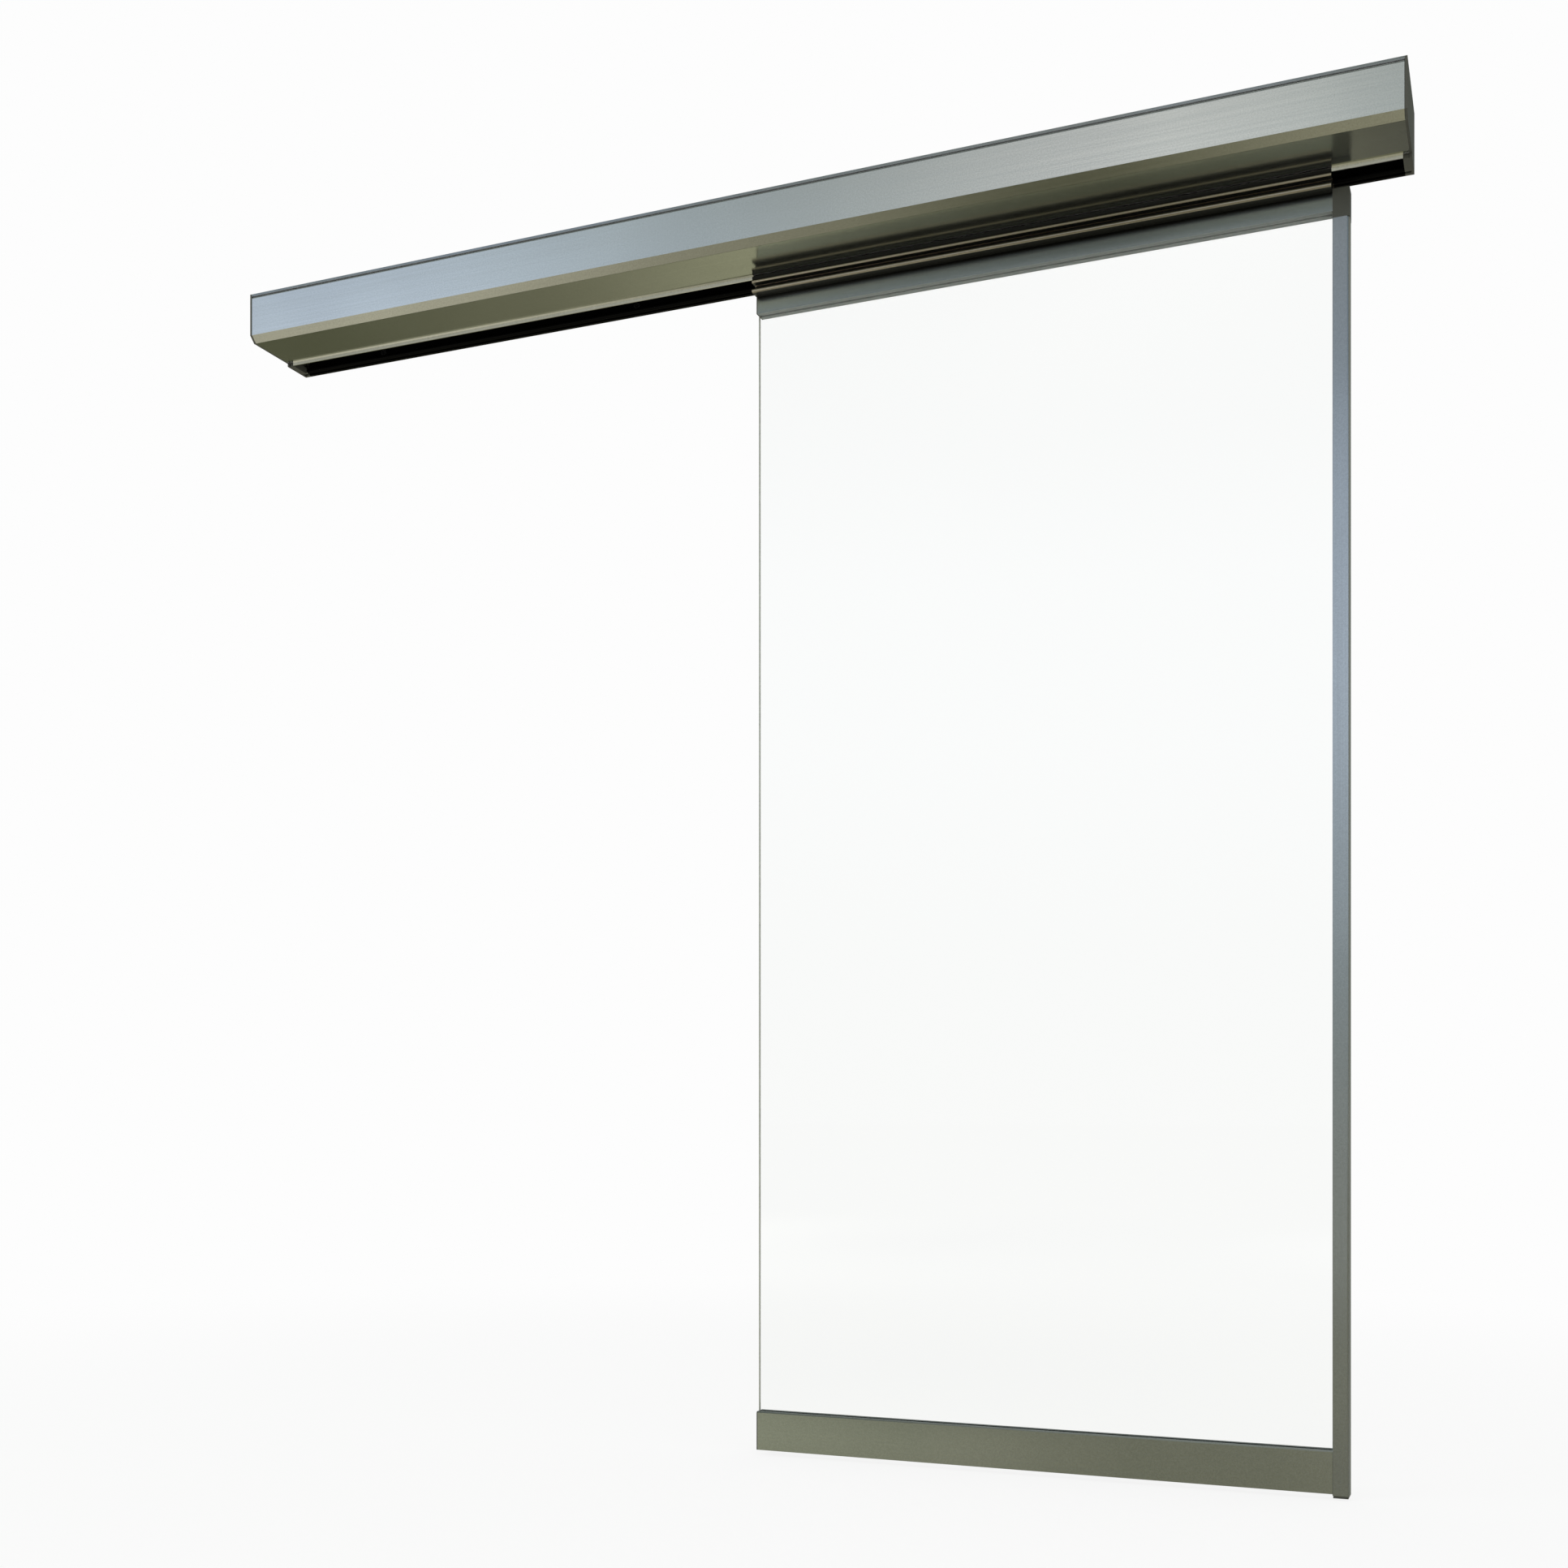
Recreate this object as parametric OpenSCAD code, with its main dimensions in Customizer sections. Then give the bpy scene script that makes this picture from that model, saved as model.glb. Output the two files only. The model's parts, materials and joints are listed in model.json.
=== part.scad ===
// Automatic sliding door with one leaf, for mounting on the face of a wall.
// X runs along the header and Y points into the wall, whose face is the plane Y = 0.
// The origin is the middle of the header's wall face. The leaf is drawn closed, at the right.

/* [Header] */
// Height of the header at the wall
header_h = 100; // [98:1:120]
// Depth of the header from the wall to its front
header_d = 180; // [172:1:220]
// How much higher the underside lies than the header's lower edge at the wall
underside_step = 6; // [5:0.5:8]
// Chamfer between the front and the underside
chamfer = 12; // [6:0.5:16]
// Wall of the front cover and of the underside panel
cover_t = 2.5; // [2:0.1:3]
// Thickness of the carrier's back web
web_t = 6; // [5:0.5:8]
// Thickness of the carrier's top flange
flange_t = 4; // [3:0.5:4.5]
// Thickness of an end cap's plate
cap_t = 4; // [3:0.5:6]
// How far an end cap closes the slot, from the end of the header
cap_reach = 14; // [10:1:20]
// Distance from the wall to the front of the lip along the slot
slot_d = 61; // [60:0.5:66]
// Thickness of the lip trim
lip_t = 2; // [1.5:0.1:3]
// How far the lip hangs below the underside
lip_drop = 5.5; // [4:0.5:6]
// Radius of the hinge bead along the top of the cover
bead_hinge_r = 5; // [4.5:0.1:6]

/* [Track] */
// Distance from the top of the header to the top of the track ledge
track_drop = 62; // [60:0.5:64]
// Thickness of the track ledge
ledge_t = 4; // [3:0.5:4]
// How far the track ledge reaches from the wall
ledge_d = 38; // [36.5:0.5:39]
// Thickness of the damping strip under the track
strip_t = 1.5; // [1:0.1:2]
// Height of the running track
track_h = 7; // [6.5:0.1:8]
// Radius of the track's running bead
track_bead_r = 3; // [2.5:0.1:3]

/* [Leaf] */
// Width of the leaf with its closing stile
leaf_w = 1056; // [950:1:1200]
// Height of the leaf from the top of the hanger profile to the bottom rail's lower edge
leaf_h = 2163.5; // [1800:0.5:2500]
// Thickness of the leaf's rails and stile
leaf_t = 30; // [28:0.5:34]
// Distance from the wall to the middle plane of the leaf
leaf_c = 29; // [28.5:0.1:29.5]
// How much shorter the leaf's travel is than its width
leaf_overlap = 56; // [50:1:90]
// Distance from the closed leaf's right edge to the right end of the header
closing_gap = 98; // [90:1:120]
// Distance from the open leaf's left edge to the left end of the header
opening_gap = 46; // [42:1:80]
// Gap between the underside of the header and the hanger profile
hanger_gap = 7.5; // [7:0.1:9]
// Height of the hanger profile
hanger_h = 24; // [23:0.5:28]
// Height of the clamp rail under the hanger profile
clamp_h = 31; // [30:0.5:45]
// Height of the bottom rail
bottom_h = 71; // [70:1:110]
// Width of the closing stile with its seal
stile_w = 27; // [25:0.5:34]
// How far the stile reaches below the bottom rail
stile_drop = 6.5; // [3:0.5:9]
// Radius of the two beads along the front of the hanger profile
front_bead_r = 3.5; // [3:0.1:4]
// Distance between the two beads
front_bead_pitch = 17; // [16:0.5:18]
// How far the beads' centre line lies in front of the clamp rail
bead_reach = 19; // [18.5:0.1:21]

/* [Glass] */
// Thickness of the glass
glass_t = 10; // [8:0.5:12]
// Thickness of the glazing gasket on each side of the glass
gasket_t = 1; // [0.5:0.1:1.5]
// Depth of the glass in the clamp rail
glass_in_top = 18; // [14:1:20]
// Depth of the glass in the bottom rail
glass_in_bottom = 30; // [20:1:32]
// Depth of the glass in the stile
glass_in_stile = 8; // [6:0.5:9]

/* [Carriages] */
// Radius of a track wheel at the bottom of its groove
wheel_r = 18; // [15:0.5:18]
// Height of a track wheel's flanges above its groove
wheel_flange = 3; // [2:0.1:3]
// Width of a track wheel
wheel_w = 12; // [10:0.5:13]
// Distance between the two wheels of a carriage
wheel_pitch = 100; // [90:1:110]
// Radius of a wheel axle
axle_r = 5; // [4:0.5:5]
// Radius of a counter roller
roller_r = 7; // [6:0.5:7]
// Length of a carriage plate
carriage_len = 150; // [142:1:156]
// Thickness of a carriage plate
plate_t = 5; // [4:0.5:5]
// Distance from an end of the leaf to the middle of the nearer carriage
carriage_inset = 130; // [100:1:140]
// Radius of a hanger bolt
bolt_r = 5; // [4:0.5:5]

/* [Belt drive] */
// Number of teeth of a belt pulley
pulley_teeth = 16; // [14:1:17]
// Pitch of the belt's teeth
belt_pitch = 8; // [8:0.1:8.2]
// Width of the belt
belt_w = 12; // [10:0.5:12]
// Distance from the top of the header to the middle of the belt's loop
belt_drop = 44; // [44:0.5:46]
// Distance from the wall to the middle of the belt
belt_c = 60; // [60:0.5:61]
// Distance from an end of the header to the nearer pulley
pulley_inset = 70; // [68:1:74]
// Radius of the gearbox's output shaft
shaft_r = 6; // [5:0.5:7]
// Radius of the motor
motor_r = 30; // [26:0.5:30]
// Length of the motor
motor_len = 132; // [110:1:140]

/* [Clearances] */
// Running gap between rolling faces, and along the cover's hinge
run_gap = 0.3; // [0.2:0.05:0.4]
// Radial clearance of a shaft in its bore
bore_gap = 0.05; // [0.02:0.01:0.1]
// Gap at each end of the front cover
cover_gap = 0.5; // [0.3:0.1:1.5]
// Gap between a carriage and the buffer of its end stop
stop_gap = 1; // [0.5:0.1:2]
// Clearance of the guide block in the bottom rail's groove
guide_gap = 0.5; // [0.3:0.1:0.8]

/* [Mounting] */
// Radius of a wall screw hole
wall_hole_r = 4.25; // [3:0.25:5]
// Distance from an end of the header to the outer wall screw holes
wall_edge = 200; // [150:10:260]
// Distance between the inner columns of wall screw holes
wall_inner = 640; // [400:10:800]
// Distance between the two rows of wall screw holes
wall_rows = 60; // [58:1:62]
// Distance between the two screw holes of the bottom guide
guide_holes = 26; // [20:1:28]
// Radius of a screw hole of the bottom guide
guide_hole_r = 2.75; // [2:0.25:3.25]

/* [Hidden] */
$fn = 48;
cut = 1;
travel = leaf_w - leaf_overlap;
header_len = closing_gap + leaf_w + travel + opening_gap;
half = header_len / 2;
wall_outer = header_len - 2 * wall_edge;
z_top = header_h / 2;
z_low = -header_h / 2;
under_z = z_low + underside_step;
in_x = half - cap_t;
slot_x = half - cap_reach;
flange_z = z_top - flange_t;
hinge_y = -header_d + bead_hinge_r;
hinge_z = flange_z - run_gap - bead_hinge_r;
hook_t = 2.5;
hook_end = 60;
lip_y = -slot_d;
soffit_y = -header_d + chamfer + cover_gap;
soffit_top = under_z + cover_t;

// Slots under the top flange, which hold the equipment
tslot_w = 18;
tslot_h = 7;
tslot_open = 7;
tslot_in = 11;
tslot_lip = 2.5;
tslot_inset = 42;
tslot_belt = 36;
tslot_ys = [-header_d + tslot_inset, -belt_c - tslot_belt];
tslot_z = flange_z - tslot_h;
equip_inset = 28;
equip_belt = 24;
equip_front = -header_d + equip_inset;
equip_back = -belt_c - equip_belt;

// Screw channels for the end caps
chan_r = 4.5;
chan_bore = 2.2;
chan_low_z = z_low + 6.5;
chan_ins = chan_r + 0.5;
channels = [[-web_t - chan_ins, flange_z - chan_ins], [-web_t - chan_ins, chan_low_z]];
cap_screw_r = 2;
cap_head_r = 4;
cap_head_h = 2;
cap_screw_len = 22;
wall_shift = 2;

// Track
ledge_z = z_top - track_drop;
ledge_low = ledge_z - ledge_t;
track_base_w = 12;
track_base_t = 2;
track_stem_w = 3.4;
track_z = ledge_z + strip_t;
track_bead_z = track_z + track_h - track_bead_r;
wheel_z = track_z + track_h + run_gap + wheel_r;
track_end = 8;

// Leaf
rail_front = -leaf_c - leaf_t / 2;
rail_back = -leaf_c + leaf_t / 2;
leaf_x1 = half - closing_gap;
leaf_x0 = leaf_x1 - leaf_w;
rail_x1 = leaf_x1 - stile_w;
hang_top = under_z - hanger_gap;
hang_low = hang_top - hanger_h;
clamp_low = hang_low - clamp_h;
leaf_low = hang_top - leaf_h;
bottom_top = leaf_low + bottom_h;
stile_low = leaf_low - stile_drop;
stile_cap_rise = 5.5;
stile_cap_drop = 11.5;
stile_top = clamp_low - stile_cap_drop;
seal_t = 2;
stile_seal_w = 20;
stile_foot_h = 4;
bead_y = rail_front - bead_reach;
bead_z1 = hang_top - front_bead_r;
bead_z2 = bead_z1 - front_bead_pitch;
groove_h = front_bead_pitch - 2 * front_bead_r;
groove_d = 13;
groove_in = 4;
top_slot_open = 11;
top_slot_lip = 4;
top_slot_in = 19;
top_slot_h = 8;
seal_fin_t = 2.3;
seal_fin_h = 5;
seal_foot = 1.8;
rail_cap_t = 2;
edge = 2;

// Glass and its channels
glass_front = -leaf_c - glass_t / 2;
glass_back = -leaf_c + glass_t / 2;
glass_z1 = clamp_low + glass_in_top;
glass_z0 = bottom_top - glass_in_bottom;
glass_x1 = rail_x1 + glass_in_stile;
gasket_front = glass_front - gasket_t;
gasket_back = glass_back + gasket_t;
clamp_web = 10.5;
clamp_screw_r = 3;
clamp_screw_n = 6;
clamp_head_r = 5.5;
clamp_head_h = 3;
clamp_screw_z = hang_low - 5.5;
clamp_bite = 6;
clamp_inset = 90;

// Groove in the back of the bottom rail, and the guide block that runs in it
guide_z = leaf_low + 18;
guide_open = 10;
guide_lip = 3;
guide_in_h = 18;
guide_in_d = 8;
guide_slack = 4;
guide_len = leaf_overlap - 2 * (rail_cap_t + guide_slack);
guide_x = leaf_x0 + leaf_overlap / 2;
guide_plate_t = 4;
guide_plate_w = 46;
guide_plate_sink = 14;
guide_plate_rise = 36;
guide_hole_edge = 10;
guide_plate_low = guide_z - guide_plate_sink;
guide_plate_top = guide_z + guide_plate_rise;
guide_hole_z = guide_plate_top - guide_hole_edge;

// Carriages
groove_r = track_bead_r + run_gap;
wheel_out = wheel_r + wheel_flange;
bearing_r = 11;
bearing_w = 10;
plate_back = -ledge_d - 3;
plate_front = plate_back - plate_t;
roller_z = ledge_low - run_gap - roller_r;
roller_w = 10;
roller_axle_r = 3;
roller_head_r = 6;
roller_spacer_r = 4.5;
shelf_top = roller_z - roller_r - 1.7;
shelf_low = shelf_top - plate_t;
shelf_back = -leaf_c + 13;
plate_top = wheel_z + 20;
plate_corner = 8;
carriage_xs = [leaf_x0 + carriage_inset, leaf_x1 - carriage_inset];
head_t = 3;
head_r = 8;
clip_t = 1.2;
spacer_r = 7;
bolt_head = 6.4;
bolt_head_r = 9.2;
nut_t = 5;
nut_r = 9.2;
bolt_top = shelf_top + nut_t + 1.5;

// Belt drive
belt_rise = z_top - belt_drop;
pitch_r = pulley_teeth * belt_pitch / (2 * PI);
belt_back = 1.5;
belt_body = 1;
belt_tooth = 2;
belt_tooth_foot = 3;
belt_tooth_tip = 2.2;
belt_in = pitch_r - belt_body;
pulley_tip = belt_in - run_gap;
pulley_root = pulley_tip - belt_tooth - 0.2;
pulley_notch = belt_tooth_foot + 0.2;
pulley_side = 0.5;
pulley_flange = 1.5;
pulley_flange_r = pitch_r + 2.6;
pulley_x = half - pulley_inset;
pulley_front = -belt_c - belt_w / 2 - pulley_side - pulley_flange;
pulley_back = -belt_c + belt_w / 2 + pulley_side + pulley_flange;
tooth_reach = belt_in - belt_tooth - run_gap;
tooth_start = sqrt(pulley_tip * pulley_tip - tooth_reach * tooth_reach) + belt_tooth_foot / 2;
idler_phase = 2 * pulley_x / belt_pitch % 1;
jaw_gap = 0.4;
jaw_t = 4;
jaw_len = 40;
jaw_front = -belt_c - belt_w / 2 - 7;
jaw_low_z = belt_rise - pitch_r - belt_back - jaw_gap;
jaw_up_z = belt_rise - belt_in + belt_tooth + jaw_gap;
jaw_screw_r = 2;
jaw_screw_y = -belt_c - belt_w / 2 - 3.5;
jaw_tab_top = plate_top - 16;

// Motor, gearbox and the electrical units, in order from the left end
bracket_t = 3;
gear_half = 48;
gear_h = 60;
gear_boss_r = 14;
gear_boss = 6;
shaft_in = 22;
gear_x1 = -pulley_x + gear_half;
motor_y = (equip_front + equip_back) / 2;
motor_z = tslot_z - bracket_t - motor_r - 1.5;
motor_x1 = gear_x1 + motor_len;
bell_len = 9;
bell_r = motor_r - 3;
rib_n = 6;
saddle_w = 14;
unit_gap = 20;
soffit_bracket_t = 3;
rest_x1 = motor_x1 + bell_len + unit_gap;
control_x0 = rest_x1 + unit_gap;
control_len = 240;
control_h = 62;
vent_n = 8;
vent_x = 30;
vent_pitch = 24;
vent_w = 8;
vent_low = 40;
vent_high = 18;
vent_d = 8;
vent_r = 3;
lid_t = 4;
supply_x0 = control_x0 + control_len + 2 * unit_gap;
supply_len = 160;
supply_h = 58;
fin_n = 12;
fin_d = 14;
fin_t = 3;
mains_x0 = supply_x0 + supply_len + 2 * unit_gap;
mains_len = 76;
mains_d = 36;
mains_h = 30;
mains_n = 5;
entry_w = 40;
entry_h = 16;
entry_drop = 24;
bracket_far = 700;
bracket_near = 190;
bracket_xs = [
  rest_x1, supply_x0 - unit_gap, mains_x0 - unit_gap, half - bracket_far, half - bracket_near
];

// Idler
idler_axle_r = 5;
arm_t = 3;
arm_gap = 1;
arm_w = 36;
fork_t = 6;
fork_z = belt_rise + pulley_flange_r + arm_gap;
fork_len = 50;
base_t = 4;
base_x0 = pulley_x - 30;
base_x1 = in_x - 8;
tension_r = 2;
tension_y = -30;
tension_head = 5;

// End stops
stop_len = 22;
buffer_len = 8;
buffer_r = 6;
buffer_z = wheel_z - 8;
stop_z0 = track_z + track_h + 1.5;
stop_z1 = buffer_z + 13;
stop_front = plate_front - 1;
stop_x_left = carriage_xs[0] - travel - carriage_len / 2 - stop_gap;
stop_x_right = carriage_xs[1] + carriage_len / 2 + stop_gap;

// An outline in Y and Z, run along X from x0 to x1
module x_run(x0, x1) {
  translate([x0, 0, 0]) rotate([90, 0, 90]) linear_extrude(x1 - x0) children();
}

// An outline in X and Z, run along Y from y0 to y1
module y_run(y0, y1) {
  translate([0, y1, 0]) rotate([90, 0, 0]) linear_extrude(y1 - y0) children();
}

// An outline in X and Y, run along Z from z0 to z1
module z_run(z0, z1) {
  translate([0, 0, z0]) linear_extrude(z1 - z0) children();
}

// A round bar along X, Y or Z
module x_pin(x0, x1, y, z, r) {
  translate([x0, y, z]) rotate([0, 90, 0]) cylinder(h = x1 - x0, r = r);
}
module y_pin(y0, y1, x, z, r) {
  translate([x, y1, z]) rotate([90, 0, 0]) cylinder(h = y1 - y0, r = r);
}
module z_pin(z0, z1, x, y, r) {
  translate([x, y, z0]) cylinder(h = z1 - z0, r = r);
}

// A rectangle given by two opposite corners
module span(a0, b0, a1, b1) {
  translate([a0, b0]) square([a1 - a0, b1 - b0]);
}

// A rectangle with round corners
module round_span(a0, b0, a1, b1, r) {
  span(a0 + r, b0, a1 - r, b1);
  span(a0, b0 + r, a1, b1 - r);
  for (a = [a0 + r, a1 - r], b = [b0 + r, b1 - r]) translate([a, b]) circle(r);
}

// Header: fixed parts

module tslot(y) {
  difference() {
    span(y - tslot_w / 2, tslot_z, y + tslot_w / 2, flange_z);
    span(y - tslot_open / 2, tslot_z - cut, y + tslot_open / 2, flange_z - cut);
    span(y - tslot_in / 2, tslot_z + tslot_lip, y + tslot_in / 2, flange_z);
  }
}

module hinge_hook() {
  reach = bead_hinge_r + run_gap + hook_t;
  translate([hinge_y, hinge_z]) difference() {
    circle(reach);
    circle(bead_hinge_r + run_gap);
    span(-2 * reach, -2 * reach, 0, 2 * reach);
    polygon([[0, 0], [0, -2 * reach], [2 * reach * cos(hook_end), -2 * reach * sin(hook_end)]]);
  }
}

module carrier_profile() {
  color("silver") difference() {
    x_run(-in_x, in_x) difference() {
      union() {
        span(-web_t, z_low, 0, z_top);
        span(-header_d, flange_z, 0, z_top);
        span(-ledge_d, ledge_low, 0, ledge_z);
        hinge_hook();
        for (y = tslot_ys) tslot(y);
        for (c = channels) translate(c) circle(chan_r);
        span(-web_t - chan_ins, flange_z - chan_ins, -web_t, flange_z);
        span(-web_t - chan_ins, chan_low_z - 1, -web_t, chan_low_z + 1);
      }
      for (c = channels) translate(c) circle(chan_bore);
    }
    for (x = [-wall_outer, -wall_inner, wall_inner, wall_outer] / 2, z = [-1, 1] * wall_rows / 2)
      y_pin(-web_t - cut, cut, x, z - wall_shift, wall_hole_r);
    y_run(-web_t - cut, cut)
      span(mains_x0, flange_z - entry_drop - entry_h, mains_x0 + entry_w, flange_z - entry_drop);
  }
}

module running_track() {
  color("gainsboro") x_run(-in_x + track_end, in_x - track_end) {
    span(-leaf_c - track_base_w / 2, track_z, -leaf_c + track_base_w / 2, track_z + track_base_t);
    span(-leaf_c - track_stem_w / 2, track_z, -leaf_c + track_stem_w / 2, track_bead_z);
    translate([-leaf_c, track_bead_z]) circle(track_bead_r);
  }
}

module track_damping_strip() {
  side = track_base_w / 2 + 1;
  color("dimgray") x_run(-in_x + track_end, in_x - track_end)
    span(-leaf_c - side, ledge_z, -leaf_c + side, track_z);
}

module end_cap_right() {
  color("gray") difference() {
    union() {
      x_run(in_x, half) polygon([
        [0, z_top], [-header_d, z_top], [-header_d, under_z + chamfer],
        [-header_d + chamfer, under_z], [lip_y, under_z], [lip_y, z_low], [0, z_low]
      ]);
      x_run(slot_x, in_x) span(lip_y + lip_t, z_low, -web_t - chan_ins - chan_r - 1, under_z + 6);
    }
    for (c = channels) {
      x_pin(in_x - cut, half + cut, c[0], c[1], cap_screw_r + 0.3);
      translate([half - cap_head_h, c[0], c[1]]) rotate([0, 90, 0])
        cylinder(h = cap_head_h + 0.01, r1 = cap_screw_r + 0.3, r2 = cap_head_r + 0.3);
    }
  }
}

module end_cap_left() {
  mirror([1, 0, 0]) end_cap_right();
}

module end_cap_screws() {
  color("silver") for (side = [0, 1], c = channels) mirror([side, 0, 0]) {
    x_pin(half - cap_screw_len, half - 0.2, c[0], c[1], cap_screw_r);
    translate([half - cap_head_h, c[0], c[1]]) rotate([0, 90, 0])
      cylinder(h = cap_head_h - 0.2, r1 = cap_screw_r, r2 = cap_head_r);
  }
}

module underside_panel() {
  color("darkkhaki") x_run(-in_x, in_x) {
    span(soffit_y, under_z, lip_y, soffit_top);
    span(soffit_y, under_z, soffit_y + 2, soffit_top + 6);
  }
}

module slot_lip_trim() {
  color("white") x_run(-slot_x, slot_x) {
    span(lip_y, under_z - lip_drop, lip_y + lip_t, soffit_top + 2);
    span(lip_y - 14, soffit_top, lip_y + lip_t, soffit_top + 2);
  }
}

// Plates that hang the underside panel from the top flange
module panel_brackets() {
  front = soffit_y + 4;
  back = lip_y - 16;
  rim = 10;
  color("slategray") for (x = bracket_xs) x_run(x, x + soffit_bracket_t) difference() {
    span(front, soffit_top, back, tslot_z);
    round_span(front + rim, soffit_top + rim, back - rim, tslot_z - rim, 8);
    span(front - cut, tslot_z - 26, front + 10, tslot_z + cut);
  }
}

module motor_bracket() {
  color("slategray") {
    y_run(equip_front, equip_back) span(gear_x1 - 2 * gear_half, tslot_z - bracket_t, motor_x1, tslot_z);
    x_run(motor_x1 - saddle_w - 20, motor_x1 - 20) difference() {
      union() {
        translate([motor_y, motor_z]) circle(motor_r + 1.5);
        span(motor_y - 16, motor_z, motor_y + 16, tslot_z - bracket_t);
      }
      translate([motor_y, motor_z]) circle(motor_r);
    }
  }
}

module motor_body() {
  color("dimgray") {
    difference() {
      x_pin(gear_x1, motor_x1, motor_y, motor_z, motor_r);
      for (i = [0 : rib_n - 1]) let (x = gear_x1 + 14 + 9 * i)
        x_run(x, x + 3) difference() {
          translate([motor_y, motor_z]) circle(motor_r + cut);
          translate([motor_y, motor_z]) circle(motor_r - 2);
        }
    }
    x_pin(motor_x1, motor_x1 + bell_len, motor_y, motor_z, bell_r);
    x_pin(motor_x1 + bell_len, motor_x1 + bell_len + 4, motor_y, motor_z, 9);
  }
}

module gearbox() {
  z1 = tslot_z - bracket_t;
  color("darkgray") difference() {
    union() {
      y_run(equip_front, equip_back)
        round_span(gear_x1 - 2 * gear_half, z1 - gear_h, gear_x1, z1, 6);
      y_pin(equip_back, equip_back + gear_boss, -pulley_x, belt_rise, gear_boss_r);
    }
    y_pin(equip_back - shaft_in, equip_back + gear_boss + cut, -pulley_x, belt_rise, shaft_r + bore_gap);
  }
}

module control_unit() {
  color("dimgray") difference() {
    y_run(equip_front + lid_t, equip_back)
      round_span(control_x0, tslot_z - control_h, control_x0 + control_len, tslot_z, 4);
    for (i = [0 : vent_n - 1]) let (x = control_x0 + vent_x + vent_pitch * i)
      y_run(equip_back - vent_d, equip_back + cut)
        round_span(x, tslot_z - vent_low, x + vent_w, tslot_z - vent_high, vent_r);
  }
}

module control_unit_lid() {
  color("gray") y_run(equip_front, equip_front + lid_t)
    round_span(control_x0, tslot_z - control_h, control_x0 + control_len, tslot_z, 4);
}

module power_supply() {
  pitch = (supply_len - fin_t) / (fin_n - 1);
  color("silver") {
    y_run(equip_front + fin_d, equip_back)
      span(supply_x0, tslot_z - supply_h, supply_x0 + supply_len, tslot_z);
    y_run(equip_front, equip_front + fin_d) for (i = [0 : fin_n - 1])
      span(supply_x0 + i * pitch, tslot_z - supply_h, supply_x0 + i * pitch + fin_t, tslot_z);
  }
}

module mains_terminal_block() {
  pitch = mains_len / mains_n;
  y0 = tslot_ys[1] - mains_d / 2;
  color("whitesmoke") difference() {
    y_run(y0, y0 + mains_d) {
      span(mains_x0, tslot_z - mains_h / 2, mains_x0 + mains_len, tslot_z);
      for (i = [0 : mains_n - 1])
        span(mains_x0 + i * pitch + 1, tslot_z - mains_h, mains_x0 + (i + 1) * pitch - 1, tslot_z);
    }
    for (i = [0 : mains_n - 1])
      z_pin(tslot_z - mains_h - cut, tslot_z - mains_h + 8, mains_x0 + (i + 0.5) * pitch, y0 + 10, 3);
  }
}

// Header: belt drive

// Corners of one belt tooth, on the upper run of the loop
function tooth(x) = [
  [x - belt_tooth_foot / 2, belt_in], [x - belt_tooth_tip / 2, belt_in - belt_tooth],
  [x + belt_tooth_tip / 2, belt_in - belt_tooth], [x + belt_tooth_foot / 2, belt_in]
];

// The belt has teeth along its straight runs, as far as the turning pulleys leave them free
module toothed_belt() {
  r = pitch_r + belt_back;
  first = ceil(tooth_start / belt_pitch);
  last = floor((2 * pulley_x - tooth_start) / belt_pitch);
  run = [
    [-pulley_x, belt_in],
    for (i = [first : last]) each tooth(-pulley_x + i * belt_pitch),
    [pulley_x, belt_in]
  ];
  color("black") y_run(-belt_c - belt_w / 2, -belt_c + belt_w / 2) translate([0, belt_rise]) {
    difference() {
      union() {
        for (x = [-pulley_x, pulley_x]) translate([x, 0]) circle(r);
        span(-pulley_x, -r, pulley_x, r);
      }
      for (x = [-pulley_x, pulley_x]) translate([x, 0]) circle(belt_in);
      polygon(concat(run, [for (i = [len(run) - 1 : -1 : 0]) [run[i][0], -run[i][1]]]));
    }
  }
}

// A toothed disc between two flanges, on an axis along Y through the origin
module pulley(bore_r, phase = 0) {
  step = 360 / pulley_teeth;
  y0 = pulley_front + pulley_flange;
  y1 = pulley_back - pulley_flange;
  difference() {
    union() {
      y_run(y0, y1) difference() {
        circle(pulley_tip);
        for (i = [0 : pulley_teeth - 1]) rotate((i + phase) * step)
          span(pulley_root, -pulley_notch / 2, pulley_tip + cut, pulley_notch / 2);
      }
      y_run(pulley_front, y0) circle(pulley_flange_r);
      y_run(y1, pulley_back) circle(pulley_flange_r);
    }
    y_run(pulley_front - cut, pulley_back + cut) circle(bore_r);
  }
}

module drive_pulley() {
  color("lightgray") translate([-pulley_x, 0, belt_rise]) pulley(shaft_r);
}

module output_shaft() {
  color("silver") y_pin(equip_back - shaft_in + 1, pulley_back + 1, -pulley_x, belt_rise, shaft_r);
}

module idler_pulley() {
  color("lightgray") translate([pulley_x, 0, belt_rise]) pulley(idler_axle_r + bore_gap, idler_phase);
}

module idler_fork() {
  back = pulley_back + arm_gap;
  front = pulley_front - arm_gap;
  color("slategray") difference() {
    union() {
      y_run(front - arm_t, -web_t - base_t)
        span(pulley_x - fork_len / 2, fork_z, pulley_x + fork_len / 2, fork_z + fork_t);
      for (y = [back, front - arm_t]) y_run(y, y + arm_t) {
        span(pulley_x - arm_w / 2, belt_rise, pulley_x + arm_w / 2, fork_z);
        translate([pulley_x, belt_rise]) circle(arm_w / 2);
      }
    }
    y_pin(front - arm_t - cut, back + arm_t + cut, pulley_x, belt_rise, idler_axle_r);
    x_pin(pulley_x + fork_len / 2 - 12, pulley_x + fork_len / 2 + cut,
      tension_y, fork_z + fork_t / 2, tension_r);
  }
}

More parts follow.
